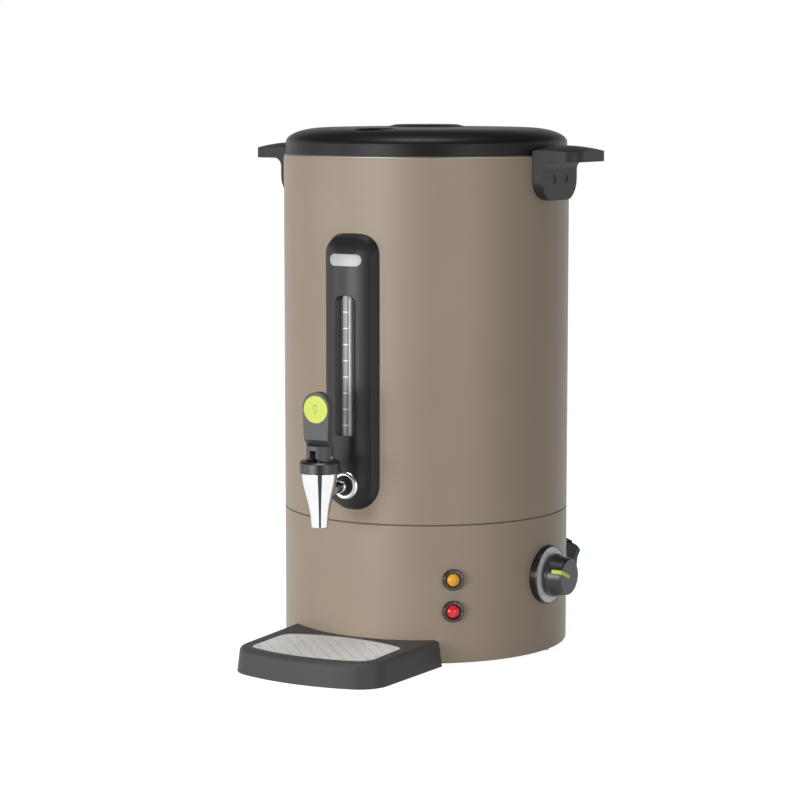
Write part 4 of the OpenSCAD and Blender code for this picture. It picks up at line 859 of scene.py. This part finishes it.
def build_handles(s):
    """Both handles, and the nylon-headed screws in their brackets."""
    for side in ("left", "right"):
        finish_piece(f"{side}_grip", from_solid(f"handle_{side}"), [f"handle_{side}"], bevel=s.edge)
    radius, foot, long, short = 4.05, s.bracket - 2.9, 3.3, 0.9
    head = soften([(0, foot), (radius, foot), (radius, s.bracket - 0.4, 0.6), (0, s.bracket)], 4)
    heads, crosses = [], []
    for angle in (-90, 90):
        for across in (-s.screw_pitch / 2, s.screw_pitch / 2):
            place = outward(math.radians(angle), s.screw_height) @ upright(across)
            heads.append(moved(spun(head, SMALL_STEPS // 2), place))
            crosses += [moved(block(*sides, s.bracket - 0.9, s.bracket + 5), place)
                        for sides in ((long, short), (short, long))]
    screws = worked(from_solid("handle_screws"), joined(*heads), operation="UNION")
    finish_piece("grip_screws", worked(screws, *crosses), ["handle_screws"], "nylon head")


def build_lamps(s):
    """Two pilot lamps: a bezel, a dark cone inside it and a domed lens."""
    front = CASING_HIGH.x + 4.2
    ring = soften([
        (s.lens_radius + 0.3, 116), (s.lens_radius + 0.5, 116), (s.lens_radius + 0.5, 132),
        (s.lamp_radius, 132), (s.lamp_radius, front, 0.9), (s.lamp_radius - 1.6, front, 0.4),
        (s.lens_radius + 0.5, front - 2.4), (s.lens_radius + 0.3, front - 2.4)], 5)
    cone = [(s.lens_radius + 0.35, front - 2.5), (s.lens_radius + 0.5, front - 2.45),
            (s.lamp_radius - 1.75, front - 0.15), (s.lamp_radius - 2.1, front - 0.1)]
    bezels, cones = [], []
    for height in (s.amber_place, s.red_place):
        place = outward(s.lamp_turn, height)
        bezels.append(moved(worked(spun(ring), fitted_tool(s.lamp_turn, height)), place))
        cones.append(moved(spun(cone), place))
    finish_piece("lamp_rings", joined(*bezels), ["lamp_bezels"])
    finish_piece("lamp_cones", joined(*cones), material="dark steel", slot="bezel_plastic")
    dome = math.hypot(s.lens_radius, 5)
    side = math.degrees(math.asin(s.lens_radius / dome))
    lens = [(0, 116.2), (s.lens_radius, 116.2), *arc((0, front - 6.5), dome, 90 - side, 90, 16)]
    for name, height in (("amber", s.amber_place), ("red", s.red_place)):
        finish_piece(f"{name}_dome", spun(lens), [f"{name}_lens"], place=outward(s.lamp_turn, height))


def fitted_tool(angle, height):
    """The casing's outside, seen by a piece that is still made about Z."""
    return moved(casing_tool(), outward(angle, height).inverted())


def build_dial(s):
    """The thermostat: bezel, numbered plate, knob and pointer."""
    floor = CASING_HIGH.x + 4
    rim = floor + 0.9
    inner = s.bezel_radius - 1.5
    ring = soften([
        (4, 132), (s.bezel_radius, 132), (s.bezel_radius, rim - 0.6, 0.7), (s.bezel_radius - 0.8, rim, 0.3),
        (inner, rim, 0.3), (inner, floor), (4, floor)], 5)
    place = outward(s.dial_turn, s.dial_place)
    bezel = worked(spun(ring, CURVE_STEPS), fitted_tool(s.dial_turn, s.dial_place))
    finish_piece("dial_surround", bezel, ["dial_bezel"], place=place)
    plate = soften([(4.5, floor), (inner - 0.05, floor), (inner - 0.05, floor + 0.6, 0.15), (4.5, floor + 0.6)])
    finish_piece("dial_face", spun(plate, CURVE_STEPS), ["dial_plate"], place=place)
    build_dial_marks(s, floor + 0.6, place)

    # The knob stands off the plate on a neck, and a collar runs round it above the gap
    back, face, collar = s.knob_back, s.knob_face, s.knob_back + 3.6
    profile = [
        (0, back), (14.5, back, 0.3), (14.5, collar), (s.skirt_radius, collar, 0.7),
        (s.skirt_radius, collar + 2.4, 0.9), (s.skirt_radius - 1.4, collar + 2.8, 0.6),
        (s.face_radius + 0.1, face - 1.2, 1.0), (s.face_radius - 1.2, face, 0.9), (0, face)]
    knob = spun(soften(profile, 5), CURVE_STEPS)
    finish_piece("knob_moulding", knob, ["thermostat_knob"], body="knob", place=place)

    def grip(grow):
        """The knob's grip, grown or shrunk."""
        return spun(soften([
            (0, collar + 2), (s.skirt_radius - 1.4 + grow, collar + 2.8),
            (s.face_radius + 0.1 + grow, face - 1.2, 1.0), (s.face_radius - 1.2 + grow, face + grow, 0.9),
            (0, face + grow)], 5), CURVE_STEPS)

    # The pointer is the skin of the grip where a long slot with round ends crosses it
    half = 1.75
    slot = [(-30, -half), (-1.6, -half)] + arc((-1.6, 0), half, -90, 90, 12)[1:-1] + [(-1.6, half), (-30, half)]
    slot = moved(prism(slot, face - 9.6, face + 5), Matrix.Rotation(-s.pointer_turn, 4, "Z"))
    blade = worked(worked(slot, grip(0.2), operation="INTERSECT"), grip(-0.8))
    finish_piece("knob_line", blade, ["knob_pointer"], body="knob", place=place)


def build_dial_marks(s, level, place):
    """Plain numbers and strokes printed round the dial's plate."""
    numbers, strokes, ink = range(30, 101, 10), 36, 0.03
    middle = (s.skirt_radius + s.bezel_radius - 2.4) / 2
    shapes = []

    def spot(share, radius, height):
        """The place at a share of the scale's sweep, turned outwards."""
        turned = Matrix.Rotation(math.radians(SCALE_START - SCALE_SWEEP * share - 90), 4, "Z")
        return turned @ Matrix.Translation((0, mm(radius), mm(height)))

    for k, number in enumerate(numbers):
        text = bpy.data.curves.new("number", "FONT")
        text.body, text.size, text.extrude = str(number), mm(3.4), mm(ink)
        text.align_x, text.align_y = "CENTER", "CENTER"
        holder = linked("number", text)
        bpy.context.view_layer.update()
        shape = bmesh.new()
        mesh = bpy.data.meshes.new_from_object(holder.evaluated_get(bpy.context.evaluated_depsgraph_get()))
        shape.from_mesh(mesh)
        bpy.data.meshes.remove(mesh)
        bpy.data.objects.remove(holder)
        bpy.data.curves.remove(text)
        shapes.append(moved(shape, spot(k / (len(numbers) - 1), middle, level)))
    for k in range(strokes):
        stroke = block(0.35, 0.9, level - ink, level + ink)
        shapes.append(moved(stroke, spot(k / (strokes - 1), middle + 2.1, 0)))
    finish_piece("dial_numbers", joined(*shapes), material="printing ink", slot="dial_silver", place=place)


def build_switch(s):
    """The rocker switch's frame, its black rocker and the rocker's green cap."""
    front = CASING_HIGH.x + 9
    surround = worked(block(24, 31, 130, front, 2.0), fitted_tool(s.switch_turn, s.switch_place))
    surround = worked(surround, block(*ROCKER_HOLE, 100, 200, 0.6))
    body = worked(block(*SWITCH_BODY, 118, 137, 1.0), block(*ROCKER_HOLE, 120, 200, 0.6))
    place = outward(s.switch_turn, s.switch_place)
    finish_piece("switch_surround", joined(surround, body), ["switch_frame"], "black nylon", place=place, bevel=0.6)
    # A V that lies one cap's thickness behind the rocker's two faces, tilted with it about its pivot
    pivot, valley, cap, rise = CASING_HIGH.x + 6.5, 9.5, 3.7, 20 * math.tan(math.radians(8.8))
    outline = [(-20, -20), (20, -20), (20, valley + rise - cap), (0, valley - cap), (-20, valley + rise - cap)]
    lie = Matrix(((0, 0, 1), (1, 0, 0), (0, 1, 0))).to_4x4()
    tilt = Matrix.Translation((0, 0, mm(pivot))) @ Matrix.Rotation(s.rocker_tilt, 4, "X")

    def core():
        """What lies behind the rocker's green cap."""
        return moved(prism(outline, -12, 12), place @ tilt @ lie)

    finish_piece("rocker_body", worked(from_solid("switch_rocker"), core(), operation="INTERSECT"), ["switch_rocker"],
                 "black nylon", body="rocker", bevel=0.3)
    finish_piece("rocker_cap", worked(from_solid("switch_rocker"), core()), body="rocker", slot="rocker_green",
                 bevel=0.5)


def build_gland(s):
    """The cable gland at the back, with a ribbed nose."""
    start = CASING_HIGH.x
    ribs = []
    for k in range(4):
        near = start + 4.4 + k * 1.9
        reach = 8.9 - 0.45 * k
        ribs += [(reach, near), (reach, near + 1.0), (reach - 0.8, near + 1.2), (reach - 0.8, near + 1.8)]
    nose = soften([(4, start - 14), (8, start - 14), (8, 132), (11, 132), (11, start + 3.5, 0.6), (9, start + 3.6),
                   *ribs, (7, start + 12, 0.5), (4, start + 12, 0.4)], 4)
    place = outward(math.pi, s.gland_place)
    gland = worked(spun(nose), worked(fitted_tool(math.pi, s.gland_place), drum(8.1, 100, 139)))
    finish_piece("gland_moulding", gland, ["cable_gland"], place=place)


def arched_end(half, tip, curve, corner, inward):
    """Half of an arched end towards the tap, moved inwards, from its middle round the corner to the side."""
    centre = curve - tip
    corner_x = half - corner
    corner_y = centre - math.sqrt((curve - corner) ** 2 - corner_x**2)
    meet = math.degrees(math.atan2(corner_y - centre, corner_x))
    bow = arc((0, centre), curve - inward, -90, meet, 18)
    return bow + arc((corner_x, corner_y), corner - inward, meet, 0, 14)[1:]


def mirrored(half):
    """A whole outline from its half at X above 0, which starts and may end in the middle."""
    other = half[1:-1] if abs(half[-1][0]) < 1e-6 else half[1:]
    return half + [(-x, y) for x, y in reversed(other)]


def tray_outline(s, inward):
    """The tray's outline, moved inwards: its sides spread a little from the corners to the casing."""
    wide = s.back_half_width
    back = -math.sqrt(CASING_HIGH.x**2 - wide**2)
    end = arched_end(s.half_width, s.front, s.front_curve, s.corner, inward)
    return mirrored(end + [(wide - inward, back), (wide - inward, -CASING_HIGH.x / 2)])


def grid_outline(s, inward):
    """The outline of the grid's seat, moved inwards: arched to the front and to the casing."""
    half, front = s.half_width - s.rim, s.front - s.rim
    near = arched_end(half, front, s.front_curve - s.rim, s.corner - s.rim, inward)
    far = arched_end(half, front, s.rear_curve, s.rear_corner, inward)
    return mirrored(near + [(x, -front - s.rear - y) for x, y in reversed(far)])


def tilted(s):
    """Lays what was drawn level at the front edge's height in the plane of the tray's top."""
    front = mm(s.front)
    return (Matrix.Translation((0, -front, mm(s.height))) @ Matrix.Rotation(s.slope, 4, "X")
            @ Matrix.Translation((0, front, 0)))


def build_tray(s):
    """The drip tray: sloping top, rounded rim, and the well under the grid."""
    lay = tilted(s)
    sections = [[(x, y, level) for x, y in tray_outline(s, inset)]
                for inset, level in ((0.8, 0), (0.25, 0.25), (0, 0.8), (0.06, 1.3))]
    for k in range(9):
        a = math.radians(90 * k / 8)
        level = -s.rounding * (1 - math.sin(a))
        ring = tray_outline(s, s.draft + s.rounding * (1 - math.cos(a)))
        sections.append([tuple(lay @ Vector((mm(x), mm(y), mm(level))) * 1000) for x, y in ring])
    seat = moved(prism(grid_outline(s, 0), -s.seat, 40), lay)
    well = prism(grid_outline(s, s.ledge), 2.5, 80)
    tray = worked(lofted(sections), casing_tool(0.5), seat, well)
    finish_piece("tray_moulding", tray, ["drip_tray"], body="tray")


# ---------------------------------------------------------------- stage
def build_floor():
    """Pale paper that takes shadows near the urn and is white further out and in reflections."""
    bm = bmesh.new()
    bmesh.ops.create_circle(bm, cap_ends=True, segments=128, radius=12.0)
    floor = solid("floor", bm)
    material, tree, output, place = new_tree("pale paper")
    grain = add(tree, "TexNoise", {"Vector": place, "Scale": 300.0, "Detail": 2.0})
    tones = add(tree, "ValToRGB", {"Fac": grain.outputs["Fac"]})
    tones.color_ramp.elements[0].color = (0.38, 0.38, 0.38, 1)
    tones.color_ramp.elements[1].color = (0.42, 0.42, 0.42, 1)
    matt = add(tree, "BsdfDiffuse", {"Color": tones.outputs["Color"]})
    away = add(tree, "VectorMath", {0: place}, operation="LENGTH")
    whiter = add(tree, "MapRange", {"Value": away.outputs["Value"], "From Min": 0.3, "From Max": 0.9,
                                    "To Min": 0.93, "To Max": 1.0})
    glow = add(tree, "Math", {0: white_rays(tree), 1: whiter.outputs["Result"]}, operation="MULTIPLY")
    light = add(tree, "Emission", {"Color": (1, 1, 1, 1), "Strength": glow.outputs["Value"]})
    whole = add(tree, "AddShader", {0: matt.outputs["BSDF"], 1: light.outputs["Emission"]})
    tree.links.new(whole.outputs["Shader"], output.inputs["Surface"])
    floor.data.materials.append(material)


def white_rays(tree):
    """1 for the rays that see a background: the camera's, and those of gloss and of glass."""
    ray = add(tree, "LightPath")
    seen = add(tree, "Math", {0: ray.outputs["Is Camera Ray"], 1: ray.outputs["Is Glossy Ray"]}, operation="ADD")
    return add(tree, "Math", {0: seen.outputs["Value"], 1: ray.outputs["Is Transmission Ray"]}, operation="ADD",
               use_clamp=True).outputs["Value"]


def build_world(ambient):
    """White to the camera, in reflections and through glass; darker overhead; dim as a light."""
    world = bpy.data.worlds.new("studio")
    bpy.context.scene.world = world
    world.use_nodes = True
    tree = world.node_tree
    tree.nodes.clear()
    ray = add(tree, "LightPath")
    aim = add(tree, "SeparateXYZ", {"Vector": add(tree, "TexCoord").outputs["Generated"]})
    dusk = add(tree, "MapRange", {"Value": aim.outputs["Z"], "From Min": 0.16, "From Max": 0.45,
                                  "To Min": 1.0, "To Max": 0.04})
    shine = add(tree, "Math", {0: ray.outputs["Is Glossy Ray"], 1: dusk.outputs["Result"]}, operation="MULTIPLY")
    through = add(tree, "Math", {0: ray.outputs["Is Camera Ray"], 1: ray.outputs["Is Transmission Ray"]},
                  operation="ADD", use_clamp=True)
    bright = add(tree, "Math", {0: shine.outputs["Value"], 1: through.outputs["Value"]}, operation="MAXIMUM")
    other = add(tree, "Math", {0: 1.0, 1: white_rays(tree)}, operation="SUBTRACT")
    dim = add(tree, "Math", {0: other.outputs["Value"], 1: ambient}, operation="MULTIPLY")
    level = add(tree, "Math", {0: bright.outputs["Value"], 1: dim.outputs["Value"]}, operation="ADD")
    sky = add(tree, "Background", {"Color": (1, 1, 1, 1), "Strength": level.outputs["Value"]})
    output = add(tree, "OutputWorld")
    tree.links.new(sky.outputs["Background"], output.inputs["Surface"])


def softbox(name, azimuth, height, distance, width, tall, power):
    """An area light on the tap's side of the urn, turned towards it."""
    lamp = bpy.data.lights.new(name, "AREA")
    lamp.shape, lamp.size, lamp.size_y, lamp.energy = "RECTANGLE", width, tall, power
    holder = linked(name, lamp)
    a = math.radians(azimuth)
    spot = Vector((math.sin(a) * distance, -math.cos(a) * distance, height))
    holder.location = spot
    holder.rotation_euler = (Vector((0, 0, 0.2)) - spot).to_track_quat("-Z", "Y").to_euler()


def flag(name, place, azimuth, half_turn):
    """A dim upright card round the tap that only reflections see, so that bright metal has an edge to show."""
    bm = bmesh.new()
    far, near, lift = 3.0, 0.06, 0.002
    wall, ground = [], []
    for aside, heights in ((-half_turn, (0.0, far)), (half_turn, (far, 0.0))):
        a = math.radians(azimuth + aside)

        def reached(reach, height):
            """A corner that far from the tap."""
            return bm.verts.new((math.sin(a) * reach, -mm(place) - math.cos(a) * reach, height))

        wall += [reached(far, height) for height in heights]
        ground += [reached(reach, lift) for reach in ((near, far) if aside < 0 else (far, near))]
    bm.faces.new(wall)
    bm.faces.new(ground)
    card = solid(name, bm)
    material, tree, output, place = new_tree(name)
    cloth = add(tree, "TexNoise", {"Vector": place, "Scale": 200.0})
    tones = add(tree, "ValToRGB", {"Fac": cloth.outputs["Fac"]})
    tones.color_ramp.elements[0].color = (0.07, 0.07, 0.07, 1)
    tones.color_ramp.elements[1].color = (0.1, 0.1, 0.1, 1)
    dim = add(tree, "Emission", {"Color": tones.outputs["Color"], "Strength": 1.0})
    tree.links.new(dim.outputs["Emission"], output.inputs["Surface"])
    card.data.materials.append(material)
    card.visible_camera = card.visible_diffuse = card.visible_shadow = card.visible_transmission = False


def build_stage(s, tap):
    """The floor, the world, the lights and the camera."""
    build_floor()
    build_world(s.ambient)
    softbox("key light", -9, 0.25, 2.2, 1.1, 0.5, s.key)
    softbox("left light", -48, 0.25, 2.2, 0.9, 0.5, s.left)
    softbox("side light", 63, 0.25, 2.2, 0.9, 0.5, s.side)
    softbox("top light", 10, 2.0, 0.35, 0.8, 0.8, s.top)
    flag("grey card", tap.place, 32.3, 14)

    camera = bpy.data.cameras.new("camera")
    camera.lens, camera.sensor_width = s.lens, 36
    camera.clip_start, camera.clip_end = 0.05, 60
    holder = linked("camera", camera)
    holder.location = (mm(s.camera_x), -mm(s.camera_y), mm(s.camera_z))
    holder.rotation_euler = (s.camera_tilt, 0, s.camera_turn)
    bpy.context.scene.camera = holder
    bpy.context.scene.view_settings.view_transform = "Standard"


# ---------------------------------------------------------------- operators and panel
class URN_OT_frame(bpy.types.Operator):
    """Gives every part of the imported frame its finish"""

    bl_idname = "urn.frame"
    bl_label = "Frame finishes"

    def execute(self, context):
        build_frame_finishes()
        return {"FINISHED"}


class URN_OT_casing(bpy.types.Operator):
    """Builds the casing's two powder-coated shells"""

    bl_idname = "urn.casing"
    bl_label = "Casing"

    def execute(self, context):
        build_casing(read(context.scene.urn_casing), read(context.scene.urn_controls))
        return {"FINISHED"}


class URN_OT_lid(bpy.types.Operator):
    """Builds the lid"""

    bl_idname = "urn.lid"
    bl_label = "Lid"

    def execute(self, context):
        build_lid(read(context.scene.urn_lid))
        return {"FINISHED"}


class URN_OT_gauge(bpy.types.Operator):
    """Builds the column cover, its badge and the sight tube's scale"""

    bl_idname = "urn.gauge"
    bl_label = "Column cover and scale"

    def execute(self, context):
        build_cover(read(context.scene.urn_gauge), read(context.scene.urn_tap))
        build_scale(read(context.scene.urn_gauge))
        return {"FINISHED"}


class URN_OT_tap(bpy.types.Operator):
    """Builds the tap's body, ring, bonnet and spring"""

    bl_idname = "urn.tap"
    bl_label = "Tap"

    def execute(self, context):
        build_tap(read(context.scene.urn_tap))
        return {"FINISHED"}


class URN_OT_lever(bpy.types.Operator):
    """Builds the tap's lever and its coloured disc"""

    bl_idname = "urn.lever"
    bl_label = "Lever"

    def execute(self, context):
        build_lever(read(context.scene.urn_tap))
        return {"FINISHED"}


class URN_OT_handles(bpy.types.Operator):
    """Builds the two handles and their screws"""

    bl_idname = "urn.handles"
    bl_label = "Handles"

    def execute(self, context):
        build_handles(read(context.scene.urn_handles))
        return {"FINISHED"}


class URN_OT_lamps(bpy.types.Operator):
    """Builds the amber and red pilot lamps"""

    bl_idname = "urn.lamps"
    bl_label = "Pilot lamps"

    def execute(self, context):
        build_lamps(read(context.scene.urn_controls))
        return {"FINISHED"}


class URN_OT_dial(bpy.types.Operator):
    """Builds the thermostat's bezel, numbered plate and knob"""

    bl_idname = "urn.dial"
    bl_label = "Thermostat dial"

    def execute(self, context):
        build_dial(read(context.scene.urn_controls))
        return {"FINISHED"}


class URN_OT_back(bpy.types.Operator):
    """Builds the rocker switch and the cable gland"""

    bl_idname = "urn.back"
    bl_label = "Switch and gland"

    def execute(self, context):
        build_switch(read(context.scene.urn_controls))
        build_gland(read(context.scene.urn_controls))
        return {"FINISHED"}


class URN_OT_tray(bpy.types.Operator):
    """Builds the drip tray"""

    bl_idname = "urn.tray"
    bl_label = "Drip tray"

    def execute(self, context):
        build_tray(read(context.scene.urn_tray))
        return {"FINISHED"}


class URN_OT_stage(bpy.types.Operator):
    """Sets up the floor, the lights and the camera"""

    bl_idname = "urn.stage"
    bl_label = "Stage"

    def execute(self, context):
        build_stage(read(context.scene.urn_stage), read(context.scene.urn_tap))
        return {"FINISHED"}


OPERATORS = (
    URN_OT_frame, URN_OT_casing, URN_OT_lid, URN_OT_gauge, URN_OT_tap, URN_OT_lever, URN_OT_handles,
    URN_OT_lamps, URN_OT_dial, URN_OT_back, URN_OT_tray, URN_OT_stage,
)


class URN_PT_panel(bpy.types.Panel):
    """Lists the urn's operators and settings"""

    bl_idname = "URN_PT_panel"
    bl_label = "Hot Water Urn"
    bl_space_type = "VIEW_3D"
    bl_region_type = "UI"
    bl_category = "Urn"

    def draw(self, context):
        """Draws a button for each operator, and a box for each group of settings."""
        for operator in OPERATORS:
            self.layout.operator(operator.bl_idname)
        for name in SETTINGS:
            box = self.layout.box()
            box.label(text=name.replace("_", " ").capitalize())
            group = getattr(context.scene, name)
            for key in group.bl_rna.properties.keys():
                if key not in ("rna_type", "name"):
                    box.prop(group, key)


CLASSES = (*SETTINGS.values(), *OPERATORS, URN_PT_panel)


def register():
    """Makes the settings, the operators and the panel known."""
    for each in CLASSES:
        bpy.utils.register_class(each)
    for name, group in SETTINGS.items():
        setattr(bpy.types.Scene, name, PointerProperty(type=group))


def unregister():
    """Takes back what register() did."""
    for name in SETTINGS:
        delattr(bpy.types.Scene, name)
    for each in reversed(CLASSES):
        bpy.utils.unregister_class(each)


def main():
    """Registers the add-on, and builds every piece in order."""
    register()
    for operator in OPERATORS:
        getattr(bpy.ops.urn, operator.bl_idname.split(".")[1])()


if __name__ == "__main__":
    main()
